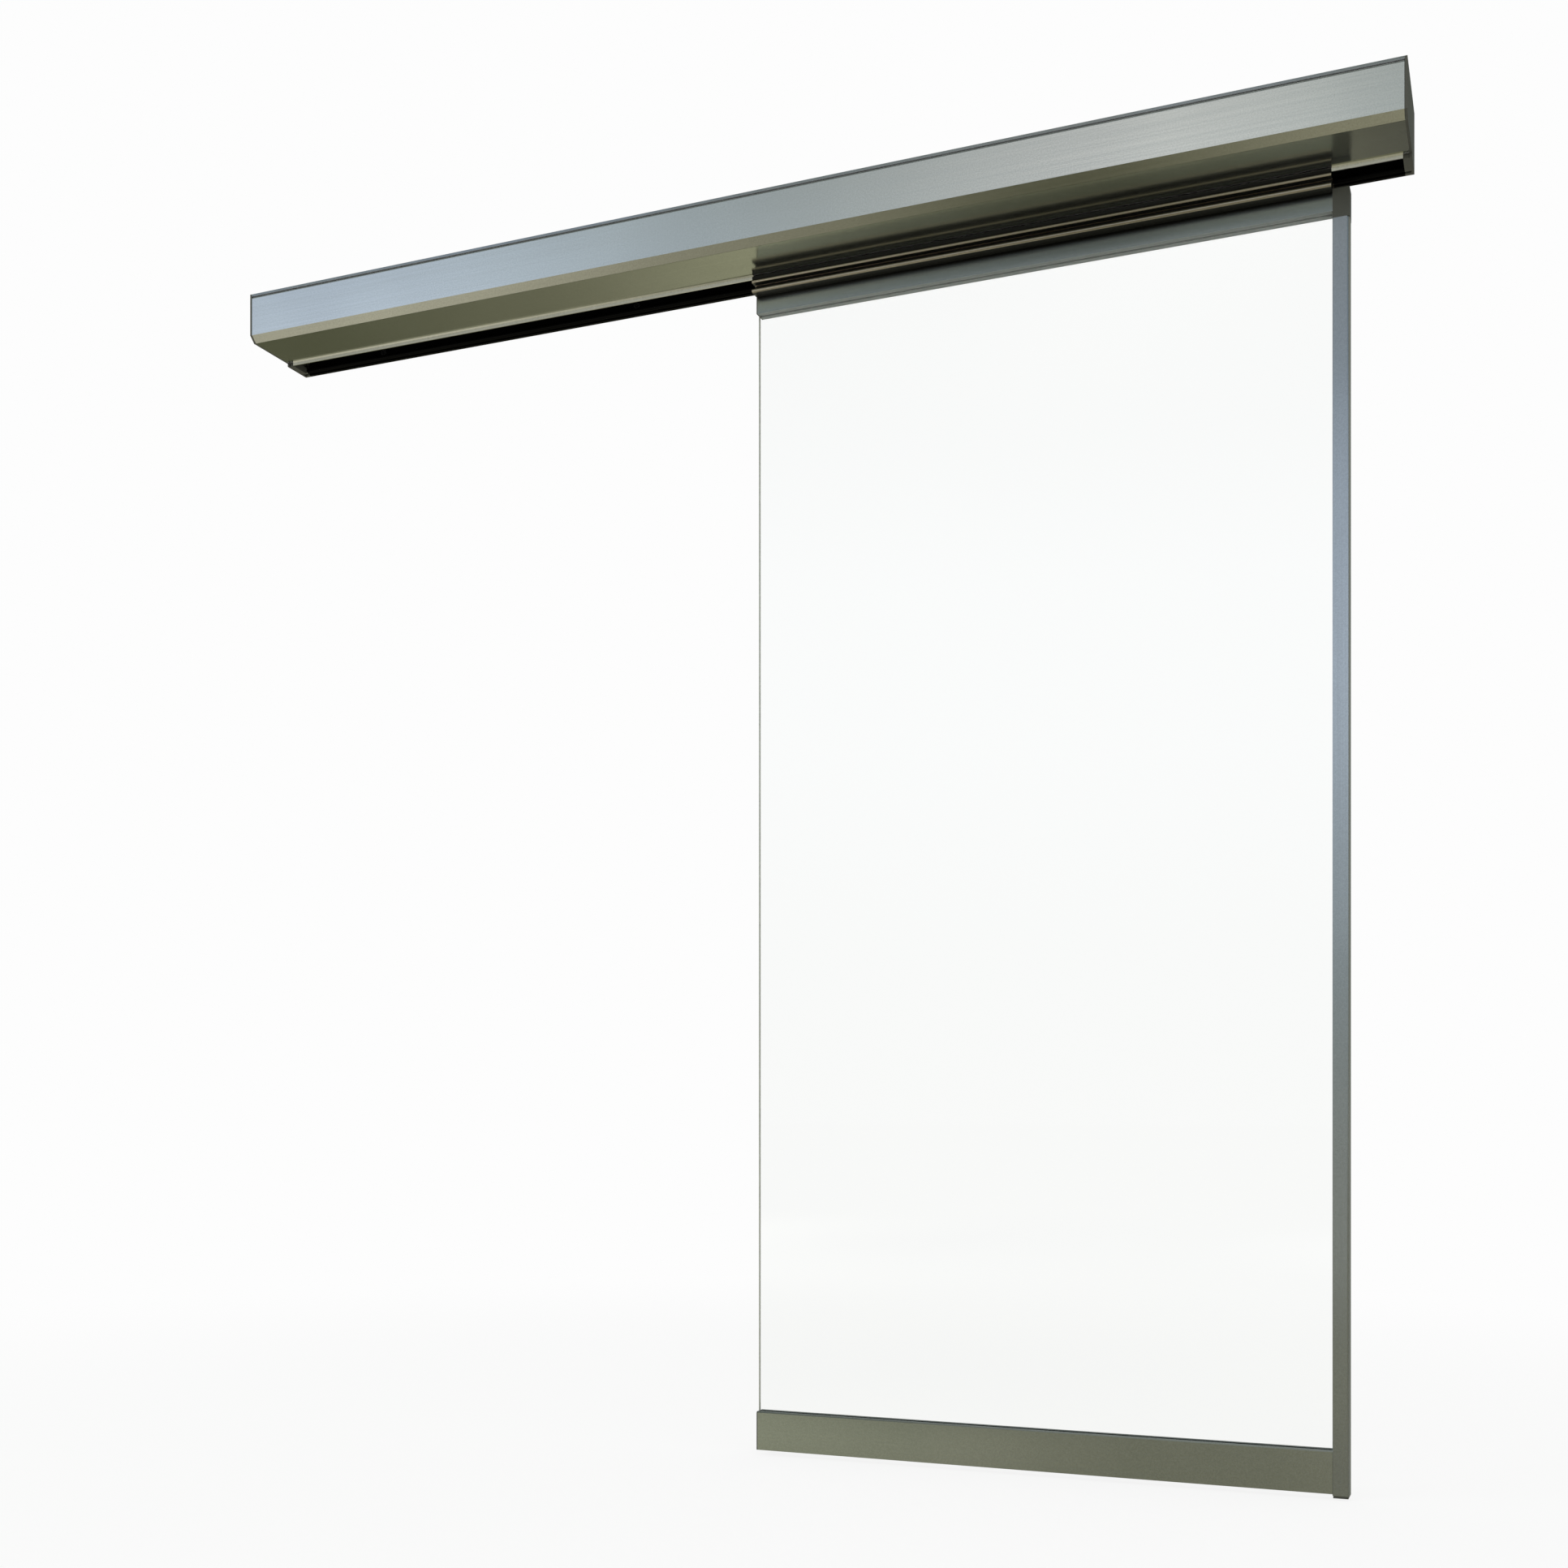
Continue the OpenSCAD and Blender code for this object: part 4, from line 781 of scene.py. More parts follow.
@dataclass(frozen=True)
class Screw:
    """A kind of screw or bolt, made by Geometry Nodes, with its sizes in mm.

    The origin of each is the middle of its head's top, and its shank runs down from there.

    Attributes:
        head_r: radius of the head's top.
        foot_r: radius of the head's underside.
        head_h: height of the head.
        shank_r: outer radius of the thread.
        pitch: pitch of the thread.
        sides: number of sides of the head.
        socket: size of the socket, as a share of the head's radius.
        socket_sides: number of sides of the socket.
        cutter: height of the socket's cutter, half of it in the head, as a share of the head's.
        groove: depth of the thread, as a share of its radius.
        thread_sides: number of sides of the thread.
    """

    head_r: float
    foot_r: float
    head_h: float
    shank_r: float
    pitch: float
    sides: int = 32
    socket: float = 0.52
    socket_sides: int = 6
    cutter: float = 1.2
    groove: float = 0.16
    thread_sides: int = 16

    def fit(
        self,
        name: str,
        body: Body,
        length: float,
        places: list[Place],
        replaces: tuple[str, ...] = (),
        finish: Finish | None = None,
    ) -> None:
        """Makes one piece that has one of these at each place.

        Args:
            name: the name of the piece.
            body: the body that they ride on.
            length: length of the thread in mm.
            places: where each one goes.
            replaces: the nodes that they stand for.
            finish: their finish, where it isn't bright zinc.
        """
        sizes = {
            "Head Radius": self.head_r * MM,
            "Foot Radius": self.foot_r * MM,
            "Head Height": self.head_h * MM,
            "Thread Radius": self.shank_r * MM,
            "Thread Length": length * MM,
            "Thread Pitch": self.pitch * MM,
            "Head Sides": self.sides,
            "Socket Size": self.socket,
        }
        shape = NodeShape(name, sizes)
        head, thread = self._head(shape), self._thread(shape)
        whole = add_node(shape.tree, "GeometryNodeJoinGeometry", {0: head})
        shape.tree.links.new(thread.outputs[0], whole.inputs[0])
        finish = finish or FINISHES[Slot.SCREW]
        mesh = shape.make(whole, finish, places)
        shade_smooth(mesh)
        finish_piece(mesh, body.value, replaces)

    def _head(self, shape: NodeShape) -> bpy.types.Node:
        """Makes the head with its socket, its top at zero.

        Args:
            shape: the tree.

        Returns:
            The node that gives the head.
        """
        tree, given = shape.tree, shape.given
        high = given["Head Height"]
        cone = {
            "Vertices": given["Head Sides"],
            "Radius Top": given["Head Radius"],
            "Radius Bottom": given["Foot Radius"],
            "Depth": high,
        }
        head = add_node(tree, "GeometryNodeMeshCone", cone)
        down = add_node(tree, "ShaderNodeMath", {0: high, 1: -1.0}, operation="MULTIPLY")
        sunk = shape.moved(head, down)
        if not self.socket:
            return sunk
        wide = {0: given["Head Radius"], 1: given["Socket Size"]}
        tall = {0: high, 1: self.cutter}
        prism = {
            "Vertices": self.socket_sides,
            "Radius": add_node(tree, "ShaderNodeMath", wide, operation="MULTIPLY"),
            "Depth": add_node(tree, "ShaderNodeMath", tall, operation="MULTIPLY"),
        }
        both = {0: sunk, 1: add_node(tree, "GeometryNodeMeshCylinder", prism)}
        how = {"operation": "DIFFERENCE", "solver": "EXACT"}
        return add_node(tree, "GeometryNodeMeshBoolean", both, **how)

    def _thread(self, shape: NodeShape) -> bpy.types.Node:
        """Makes the threaded shank, as a stack of ridges one pitch apart.

        Args:
            shape: the tree.

        Returns:
            The node that gives the shank.
        """
        tree, given = shape.tree, shape.given
        high, length = given["Head Height"], given["Thread Length"]
        top = add_node(tree, "ShaderNodeMath", {0: high, 1: -1.0}, operation="MULTIPLY")
        end = add_node(tree, "ShaderNodeMath", {0: top, 1: length}, operation="SUBTRACT")
        ends = {
            "Start": add_node(tree, "ShaderNodeCombineXYZ", {"Z": top}),
            "End": add_node(tree, "ShaderNodeCombineXYZ", {"Z": end}),
        }
        line = add_node(tree, "GeometryNodeCurvePrimitiveLine", ends)
        pitches = {0: length, 1: given["Thread Pitch"]}
        turns = add_node(tree, "ShaderNodeMath", pitches, operation="DIVIDE")
        whole = add_node(tree, "ShaderNodeMath", {0: turns}, operation="ROUND")
        two_each = {0: whole, 1: 2.0, 2: 1.0}
        count = add_node(tree, "ShaderNodeMath", two_each, operation="MULTIPLY_ADD")
        fine = add_node(tree, "GeometryNodeResampleCurve", {"Curve": line, "Count": count})
        index = add_node(tree, "GeometryNodeInputIndex")
        odd = add_node(tree, "ShaderNodeMath", {0: index, 1: 2.0}, operation="MODULO")
        cut = add_node(tree, "ShaderNodeMath", {0: odd, 1: self.groove}, operation="MULTIPLY")
        left = add_node(tree, "ShaderNodeMath", {0: 1.0, 1: cut}, operation="SUBTRACT")
        radii = {0: left, 1: given["Thread Radius"]}
        ring = {"Resolution": self.thread_sides, "Radius": 1.0}
        sweep = {
            "Curve": fine,
            "Profile Curve": add_node(tree, "GeometryNodeCurvePrimitiveCircle", ring),
            "Scale": add_node(tree, "ShaderNodeMath", radii, operation="MULTIPLY"),
            "Fill Caps": True,
        }
        return add_node(tree, "GeometryNodeCurveToMesh", sweep)


@dataclass
class Turned:
    """A piece that was turned about an axis along Y, of one or more sections.

    Attributes:
        name: the name of the piece.
        centre: the middle of its axis, in mm.
        sections: each section's outline, as radius and place along Y in mm, and its finish.
        steps: number of steps round the axis.
    """

    name: str
    centre: Vector
    sections: list[tuple[Section, Finish]]
    steps: int = 64

    def build(self, body: str, slot: Slot, replaces: tuple[str, ...]) -> None:
        """Turns every section, all in one piece.

        Args:
            body: the name of the body that it rides on.
            slot: the slot of its main finish; not used.
            replaces: the nodes that it stands for.
        """
        mesh, whole, centre = bpy.data.meshes.new(self.name), bmesh.new(), self.centre * MM
        for i, (outline, finish) in enumerate(self.sections):
            rings = []
            for step in range(self.steps):
                turn = 2 * math.pi * step / self.steps
                ring = [Vector((r * math.cos(turn), y, r * math.sin(turn))) for r, y in outline]
                rings.append([whole.verts.new(centre + point * MM) for point in ring])
            for ring, after in zip(rings, rings[1:] + rings[:1]):
                for j in range(len(outline)):
                    face = whole.faces.new((ring[j - 1], ring[j], after[j], after[j - 1]))
                    face.material_index = i
            mesh.materials.append(finish.material())
        bmesh.ops.recalc_face_normals(whole, faces=whole.faces)
        whole.to_mesh(mesh)
        whole.free()
        shade_smooth(mesh)
        finish_piece(mesh, body, replaces)


def arc(
    centre: tuple[float, float], radius: float, start: float, end: float, steps: int
) -> Section:
    """Gives the points of an arc in a section.

    Args:
        centre: its centre, as radius and place along Y in mm.
        radius: its radius in mm.
        start: the angle of its first point in degrees.
        end: the angle of its last point.
        steps: the number of steps between them.

    Returns:
        The points.
    """
    angles = [math.radians(start + (end - start) * i / steps) for i in range(steps + 1)]
    return [(centre[0] + radius * math.cos(a), centre[1] + radius * math.sin(a)) for a in angles]


@dataclass
class RunningGear:
    """The wheels and rollers that carry the leaf, and the bolts that it hangs on.

    Attributes:
        wheels: number of track wheels.
        rollers: number of counter rollers.
        wheel_r: radius at the bottom of the wheel's groove, in mm.
        wheel_out: radius of the wheel's flanges.
        wheel_w: width of the wheel.
        groove_r: radius of the groove.
        rim_r: radius where the tyre sits on its bearing.
        ring_t: thickness of the bearing's rings.
        bearing_w: width of the bearing.
        bore_r: radius of the bearing's bore.
        seal_in: how deep the bearing's seals lie.
        edge: size of the broken edges.
        relief: radius of the ring that is turned into the tyre's sides.
        groove_steps: number of steps round the groove's section.
        relief_steps: number of steps round the section of that ring.
        roller_bore: radius of a counter roller's bore.
        bush_r: outer radius of its steel bush.
        bolt: the hexagon bolts that hang the leaf from the carriages.
    """

    wheels: int = 4
    rollers: int = 2
    wheel_r: float = 18.0
    wheel_out: float = 21.0
    wheel_w: float = 12.0
    groove_r: float = 3.3
    rim_r: float = 11.0
    ring_t: float = 1.7
    bearing_w: float = 10.0
    bore_r: float = 5.05
    seal_in: float = 0.5
    edge: float = 0.5
    relief: float = 1.6
    groove_steps: int = 12
    relief_steps: int = 6
    roller_bore: float = 3.05
    bush_r: float = 4.2
    bolt: Screw = Screw(9.2, 9.2, 6.4, 5.0, 1.5, sides=6, socket=0.0)

    def build(self) -> None:
        """Makes the wheels, the counter rollers and the hanger bolts."""
        spots = [self._wheel(f"wheel_{i + 1}") for i in range(self.wheels)]
        for i in range(self.rollers):
            self._roller(f"counter_roller_{i + 1}")
        low, high, mid = box_mm("hanger_bolts")
        places = [Place((x, mid.y, low.z), Facing.DOWN_FLAT) for x in spots]
        length = high.z - low.z - self.bolt.head_h
        self.bolt.fit("hanger_bolts_threaded", Body.LEAF, length, places, ("hanger_bolts",))

    def _tyre(self) -> Section:
        """Gives the section of the tyre, with its groove and the rings in its sides.

        Returns:
            The section's corners.
        """
        side, out = self.wheel_w / 2, self.wheel_out
        middle = self.wheel_r + self.groove_r
        open_at = math.degrees(math.acos((out - middle) / self.groove_r))
        ring = (self.rim_r + self.wheel_r) / 2
        return [
            (self.rim_r, side),
            *arc((ring, side), self.relief, -180, 0, self.relief_steps),
            (out - self.edge, side),
            (out, side - self.edge),
            *arc((middle, 0.0), self.groove_r, open_at, 360 - open_at, self.groove_steps),
            (out, self.edge - side),
            (out - self.edge, -side),
            *arc((ring, -side), self.relief, 0, 180, self.relief_steps),
            (self.rim_r, -side),
        ]

    def _tube(self, inner: float, outer: float, half: float) -> Section:
        """Gives the section of a ring with broken edges.

        Args:
            inner: its inner radius in mm.
            outer: its outer radius.
            half: half its width.

        Returns:
            The section's corners.
        """
        edge = self.edge / 2
        return [
            (inner, edge - half),
            (inner, half - edge),
            (inner + edge, half),
            (outer - edge, half),
            (outer, half - edge),
            (outer, edge - half),
            (outer - edge, -half),
            (inner + edge, -half),
        ]

    def _wheel(self, name: str) -> float:
        """Makes one track wheel: an acetal tyre on a sealed ball bearing.

        Args:
            name: the name of its node and of its body.

        Returns:
            Where it is along X, in mm.
        """
        half, centre = self.bearing_w / 2, box_mm(name)[2]
        inner, outer = self.bore_r + self.ring_t, self.rim_r - self.ring_t
        sections = [
            (self._tyre(), FINISHES[Slot.WHEEL]),
            (self._tube(outer, self.rim_r, half), BEARING_RING),
            (self._tube(self.bore_r, inner, half), BEARING_RING),
            (self._tube(inner, outer, half - self.seal_in), BEARING_SEAL),
        ]
        Turned(name + "_turned", centre, sections).build(name, Slot.WHEEL, (name,))
        return centre.x

    def _roller(self, name: str) -> None:
        """Makes one counter roller, with its broken edges and a steel bush.

        Args:
            name: the name of its node and of its body.
        """
        low, high, centre = box_mm(name)
        half, radius = (high.y - low.y) / 2, (high.z - low.z) / 2
        sections = [
            (self._tube(self.bush_r, radius, half), FINISHES[Slot.WHEEL]),
            (self._tube(self.roller_bore, self.bush_r, half), BEARING_RING),
        ]
        Turned(name + "_turned", centre, sections).build(name, Slot.WHEEL, (name,))


@dataclass
class SmallFasteners:
    """The screws of the header and the leaf, in the places that the record's nodes give them.

    Attributes:
        cap: the countersunk screws of the end caps.
        cap_l: their length in mm.
        clamp: the socket screws that clamp the glass in the top rail.
        clamp_count: how many there are.
        belt: the screws that close the belt clamp.
        tension: the screw that pulls the idler.
        terminal: the clamping screws of the mains terminals.
        terminal_l: their length.
        terminal_count: how many there are.
        terminal_in: how far their bores lie behind the block's face.
        terminal_sunk: how deep their heads lie.
        lid: the screws at the corners of the control unit's lid.
        lid_l: their length.
        lid_inset: how far they lie from its edges.
        bracket: the screws that hang the motor bracket in the carrier's two slots.
        bracket_plate: thickness of the bracket's plate.
        bracket_nut: how far they reach past it, into their nuts.
        bracket_x: how far they lie from the bracket's end.
        bracket_y: where the two slots lie.
        wall: the screws that hold the header on its wall.
        web: thickness of the carrier's back, which they go through.
    """

    cap: Screw = Screw(4.0, 2.0, 1.8, 2.0, 1.4)
    cap_l: float = 20.0
    clamp: Screw = Screw(4.9, 4.9, 3.0, 2.6, 1.0)
    clamp_count: int = 6
    belt: Screw = Screw(3.4, 3.4, 2.5, 2.0, 0.8)
    tension: Screw = Screw(4.2, 4.2, 5.0, 2.0, 0.8, sides=6, socket=0.0)
    terminal: Screw = Screw(2.7, 2.7, 2.0, 1.5, 0.7, socket_sides=4)
    terminal_l: float = 3.6
    terminal_count: int = 5
    terminal_in: float = 10.0
    terminal_sunk: float = 2.0
    lid: Screw = Screw(2.8, 3.0, 1.4, 1.5, 1.0)
    lid_l: float = 3.0
    lid_inset: float = 8.0
    bracket: Screw = Screw(4.0, 4.0, 3.0, 2.4, 0.8)
    bracket_plate: float = 3.0
    bracket_nut: float = 6.0
    bracket_x: tuple[float, float] = (40.0, 110.0)
    bracket_y: tuple[float, float] = (-138.0, -96.0)
    wall: Screw = Screw(6.5, 6.5, 4.0, 4.0, 1.25)
    web: float = 6.0

    def build(self) -> None:
        """Makes every set of screws."""
        self._replace_screws()
        self._add_screws()
        self._wall_screws()

    def _replace_screws(self) -> None:
        """Makes the screws that are nodes of the record, each set in the box of its node."""
        low, high, mid = box_mm("end_cap_screws")
        rows = (high.z - self.cap.head_r, low.z + self.cap.head_r)
        ends = ((low.x, Facing.LEFT), (high.x, Facing.RIGHT))
        places = [Place((x, mid.y, z), facing) for x, facing in ends for z in rows]
        nodes = ("end_cap_screws",)
        self.cap.fit("cap_screws_countersunk", Body.HEADER, self.cap_l, places, nodes)

        low, high, mid = box_mm("clamp_screws")
        first, last = low.x + self.clamp.head_r, high.x - self.clamp.head_r
        step = (last - first) / (self.clamp_count - 1)
        xs = [first + step * i for i in range(self.clamp_count)]
        places = [Place((x, high.y, mid.z), Facing.WALL) for x in xs]
        length, nodes = high.y - low.y - self.clamp.head_h, ("clamp_screws",)
        self.clamp.fit("clamp_screws_socket", Body.LEAF, length, places, nodes)

        low, high, mid = box_mm("belt_clamp_screws")
        xs = (low.x + self.belt.head_r, high.x - self.belt.head_r)
        places = [Place((x, mid.y, high.z), Facing.UP) for x in xs]
        length, nodes = high.z - low.z - self.belt.head_h, ("belt_clamp_screws",)
        self.belt.fit("belt_clamp_screws_socket", Body.LEAF, length, places, nodes)

        low, high, mid = box_mm("tension_screw")
        places = [Place((high.x, mid.y, mid.z), Facing.RIGHT)]
        length, nodes = high.x - low.x - self.tension.head_h, ("tension_screw",)
        self.tension.fit("tension_screw_threaded", Body.HEADER, length, places, nodes)

    def _add_screws(self) -> None:
        """Makes the screws of the terminals, of the lid and of the motor's bracket."""
        low, high, _ = box_mm("mains_terminal_block")
        pitch = (high.x - low.x) / self.terminal_count
        xs = [low.x + pitch * (i + 0.5) for i in range(self.terminal_count)]
        y, z = low.y + self.terminal_in, low.z + self.terminal_sunk
        places = [Place((x, y, z), Facing.DOWN) for x in xs]
        self.terminal.fit("terminal_screws", Body.HEADER, self.terminal_l, places)

        low, high, _ = box_mm("control_unit_lid")
        xs = (low.x + self.lid_inset, high.x - self.lid_inset)
        zs = (low.z + self.lid_inset, high.z - self.lid_inset)
        y = low.y - self.lid.head_h
        places = [Place((x, y, z), Facing.ROOM) for x in xs for z in zs]
        self.lid.fit("lid_screws", Body.HEADER, self.lid_l, places)

        end = box_mm("motor_bracket")[1]
        z = end.z - self.bracket_plate - self.bracket.head_h
        places = [
            Place((end.x - x, y, z), Facing.DOWN) for x in self.bracket_x for y in self.bracket_y
        ]
        length = self.bracket_plate + self.bracket_nut
        self.bracket.fit("bracket_screws", Body.HEADER, length, places)

    def _wall_screws(self) -> None:
        """Makes the screws that hold the header on its wall, up to the wall's face."""
        places = []
        for mount in frame["record"]["mounts"]:
            if not mount["name"].startswith("wall_screws"):
                continue
            middle = Vector(mount["pos_m"]) / MM
            wide, tall = mount["dims"]["spacing_x_mm"] / 2, mount["dims"]["spacing_y_mm"] / 2
            for x in (-wide, wide):
                for z in (-tall, tall):
                    at = (middle.x + x, -self.web - self.wall.head_h, middle.z + z)
                    places.append(Place(at, Facing.ROOM))
        self.wall.fit("wall_screws", Body.HEADER, self.web, places, finish=BLACK_OXIDE)


@dataclass
class GlassPane:
    """The glass: a clear pane with ground edges.

    Attributes:
        arris: width of the ground corners in mm.
        free: gap between the pane and each gasket in mm, so that their faces don't coincide.
        square: how squarely a face looks along Y to be a clear one and no edge.
    """

    arris: float = 1.0
    free: float = 0.05
    square: float = 0.99

    def build(self) -> None:
        """Makes the pane, clear through its two faces and pale green along its edges."""
        low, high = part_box("glass_pane")
        low.y += self.free * MM
        high.y -= self.free * MM
        size = Matrix.Diagonal((*(high - low), 1.0))
        pane = bmesh.new()
        bmesh.ops.create_cube(pane, size=1.0, matrix=Matrix.Translation((low + high) / 2) @ size)
        bmesh.ops.bevel(
            pane, geom=pane.edges[:], offset=self.arris * MM, segments=1, affect="EDGES"
        )
        for face in pane.faces:
            face.material_index = 0 if abs(face.normal.y) > self.square else 1
        mesh = bpy.data.meshes.new("glass_ground_edges")
        pane.to_mesh(mesh)
        pane.free()
        for finish in (FINISHES[Slot.GLASS], GLASS_EDGE):
            mesh.materials.append(finish.material())
        finish_piece(mesh, Body.LEAF.value, ("glass_pane",))


@dataclass
class EdgeBrush:
    """The bristles along the seal on the leaf's top edge, made by Geometry Nodes.

    Attributes:
        pitch: distance between two tufts in mm.
        tuft: size of a tuft along X and Y in mm.
        rise: how far the tufts stand above the seal.
        root: how deep they are set in it.
        fin: thickness of the seal's fin that carries them.
        ragged: share of its height that a tuft can lack.
        seed: seed of the uneven heights.
    """

    pitch: float = 1.1
    tuft: tuple[float, float] = (0.9, 1.5)
    rise: float = 1.2
    root: float = 0.6
    fin: float = 2.3
    ragged: float = 0.12
    seed: int = 7

    def build(self) -> None:
        """Makes the brush, as one row of tufts of uneven height."""
        low, high, _ = box_mm("top_edge_seal")
        sizes = {
            "Tufts": int((high.x - low.x - self.pitch) / self.pitch) + 1,
            "Pitch": self.pitch * MM,
            "Tuft Height": (self.rise + self.root) * MM,
            "Ragged": self.ragged,
        }
        shape = NodeShape("edge_brush", sizes)
        tree, given = shape.tree, shape.given
        height = given["Tuft Height"]
        step = add_node(tree, "ShaderNodeCombineXYZ", {"X": given["Pitch"]})
        row = add_node(tree, "GeometryNodeMeshLine", {"Count": given["Tufts"], "Offset": step})
        wide, deep = self.tuft
        block = {"X": wide * MM, "Y": deep * MM, "Z": height}
        size = add_node(tree, "ShaderNodeCombineXYZ", block)
        tuft = add_node(tree, "GeometryNodeMeshCube", {"Size": size})
        half = add_node(tree, "ShaderNodeMath", {0: height, 1: 0.5}, operation="MULTIPLY")
        least = add_node(tree, "ShaderNodeMath", {0: 1.0, 1: given["Ragged"]}, operation="SUBTRACT")
        uneven = {2: least, 3: 1.0, "Seed": self.seed}
        short = add_node(tree, "FunctionNodeRandomValue", uneven, data_type="FLOAT")
        scale = add_node(tree, "ShaderNodeCombineXYZ", {"X": 1.0, "Y": 1.0, "Z": short})
        tufts = {"Points": row, "Instance": shape.moved(tuft, half), "Scale": scale}
        brush = add_node(tree, "GeometryNodeInstanceOnPoints", tufts)
        start = (low.x + self.pitch, low.y + self.fin / 2, high.z - self.root)
        mesh = shape.make(brush, FINISHES[Slot.RUBBER_BLACK], [Place(start)])
        finish_piece(mesh, Body.LEAF.value)


# The picture


@dataclass(frozen=True)
class Tone:
    """A soft round tone of the studio, as bright metal mirrors it; on the floor, bright tones are
    painted pools of light and dark ones painted shade.

    Attributes:
        centre: its middle, as a point of the floor or as a direction to the walls.
        reach: how far it goes along each axis.
        colour: its colour, as sRGB hex.
        weight: how much it covers what lies under it in the middle.
        strength: how bright it glows, where its colour alone is too dim.
    """

    centre: Triple
    reach: Triple
    colour: str
    weight: float
    strength: float = 1.0

    def light(self) -> Colour:
        """Gives the tone's colour in linear light."""
        red, green, blue, _ = linear(self.colour)
        return red * self.strength, green * self.strength, blue * self.strength, 1.0


@dataclass(frozen=True)
class SoftBox:
    """A soft lamp.

    Attributes:
        name: its name.
        place: where it hangs, in metres.
        size: the side of its square face, in metres.
        power: its power in watts.
    """

    name: str
    place: Triple
    size: float
    power: float


@dataclass
class Studio:
    """The pale floor, the soft light and the camera of the picture.

    Attributes:
        eye: the camera's place in metres.
        yaw: how far it is turned to the left, in degrees.
        lens: its focal length in mm, for a 36 mm sensor.
        shift: its vertical shift, which keeps the uprights upright.
        aim: the point that the lamps look at, in metres.
        lamps: the lamps, which neither metal nor glass shows.
        floor_gap: how far the floor lies under the lowest point, in mm.
        floor_reach: how far it goes each way, in metres.
        white: the background that the camera sees.
        near_white: share of that white in the floor near the door, and what glass adds to it.
        white_from: distances in metres between which the share grows to 1.
        paper: the floor's own colour.
        dome: the light from all round on matt surfaces.
        behind: the dim wall that metal mirrors from behind the door.
        behind_from: slopes towards the back between which that wall comes in, and its share.
        walls: the studio that metal mirrors, as elevation in degrees and colour.
        wall_tones: the soft lights on its walls.
        floor_base: the floor as metal mirrors it, a glow of painted light.
        painted_floor_pools: painted pools of light and shade on that floor.
    """

    eye: Triple = (1.2782, -3.1594, -1.5776)
    yaw: float = 22.29
    lens: float = 41.89
    shift: float = 0.2056
    aim: Triple = (0.2, 0.0, -1.0)
    lamps: tuple[SoftBox, ...] = (
        SoftBox("key_lamp", (-2.6, -3.4, 1.8), 2.4, 60.0),
        SoftBox("fill_lamp", (3.2, -3.0, 0.4), 2.0, 25.0),
    )
    floor_gap: float = 3.5
    floor_reach: float = 60.0
    white: str = "fdfdfd"
    near_white: tuple[float, float] = (0.88, 0.09)
    white_from: tuple[float, float] = (2.3, 4.2)
    paper: str = "e9e8e2"
    dome: str = "dfe3e6"
    behind: str = "6a6c60"
    behind_from: Triple = (0.1, 0.5, 0.8)
    walls: tuple[tuple[float, str], ...] = (
        (-20.0, "77776a"), (0.0, "a5a69c"), (5.0, "aab5b2"), (11.0, "e6f0fb"),
        (16.0, "e6f1ff"), (20.0, "a0adb9"), (23.5, "87949b"), (27.0, "a3b0aa"),
        (35.0, "96a19b"), (52.0, "50575e"), (66.0, "747871"), (90.0, "b4b7b0"),
    )
    wall_tones: tuple[Tone, ...] = (
        Tone((-0.55, -0.745, 0.385), (0.24, 0.3, 0.3), "d0dff6", 0.95, 1.08),
        Tone((-0.182, -0.855, 0.485), (0.19, 0.19, 0.19), "fffcfa", 1.0, 1.15),
        Tone((-0.28, -0.87, 0.43), (0.17, 0.14, 0.06), "4c5450", 0.7),
    )
    floor_base: str = "8a8874"
    painted_floor_pools: tuple[Tone, ...] = (
        Tone((-2.9, -4.4, -2.2), (2.9, 3.2, 1.0), "fffdf0", 1.0, 1.8),
        Tone((-2.5, -1.3, -2.2), (1.8, 1.2, 1.0), "c0bda9", 0.95),
        Tone((-1.3, -5.4, -2.2), (1.5, 2.6, 1.0), "1c1f1a", 0.97),
        Tone((0.7, -5.6, -2.2), (1.0, 2.2, 1.0), "e4e6e2", 0.95, 1.15),
        Tone((1.4, -1.5, -2.2), (1.1, 1.0, 1.0), "aaa78c", 0.8),
        Tone((0.02, -1.3, -2.2), (0.85, 1.1, 1.0), "34371f", 0.95),
        Tone((-0.35, -0.3, -2.2), (1.1, 0.7, 1.0), "bcbca2", 0.85),
        Tone((-1.8, 4.2, -2.2), (1.0, 2.0, 1.0), "c9c8b0", 0.9),
        Tone((-4.6, 4.2, -2.2), (2.6, 2.0, 1.0), "50533b", 0.9),
        Tone((1.4, 4.2, -2.2), (1.6, 2.0, 1.0), "4a4a58", 0.9),
    )

    def build(self) -> None:
        """Makes the camera, the floor, the world and the lamps."""
        scene = bpy.context.scene
        scene.view_settings.view_transform = "Standard"
        self._camera(scene)
        self._floor()
        scene.world = self._world()
        for box in self.lamps:
            self._lamp(scene, box)

    def _camera(self, scene: bpy.types.Scene) -> None:
        """Makes the level camera.

        Args:
            scene: the scene that it belongs to.
        """
        data = bpy.data.cameras.new("camera")
        data.lens = self.lens
        data.sensor_width = 36.0
        data.shift_y = self.shift
        data.clip_start, data.clip_end = 0.05, 200.0
        camera = bpy.data.objects.new("camera", data)
        camera.location = self.eye
        camera.rotation_euler = (math.radians(90), 0.0, math.radians(self.yaw))
        scene.collection.objects.link(camera)
        scene.camera = camera

    def _floor(self) -> None:
        """Makes the floor, white to the camera where no shadow falls."""
        low, far = CAD_BOX[0].z - self.floor_gap * MM, self.floor_reach
        corners = [(-far, -far, low), (far, -far, low), (far, far, low), (-far, far, low)]
        mesh = bpy.data.meshes.new("floor")
        mesh.from_pydata(corners, [], [tuple(range(len(corners)))])
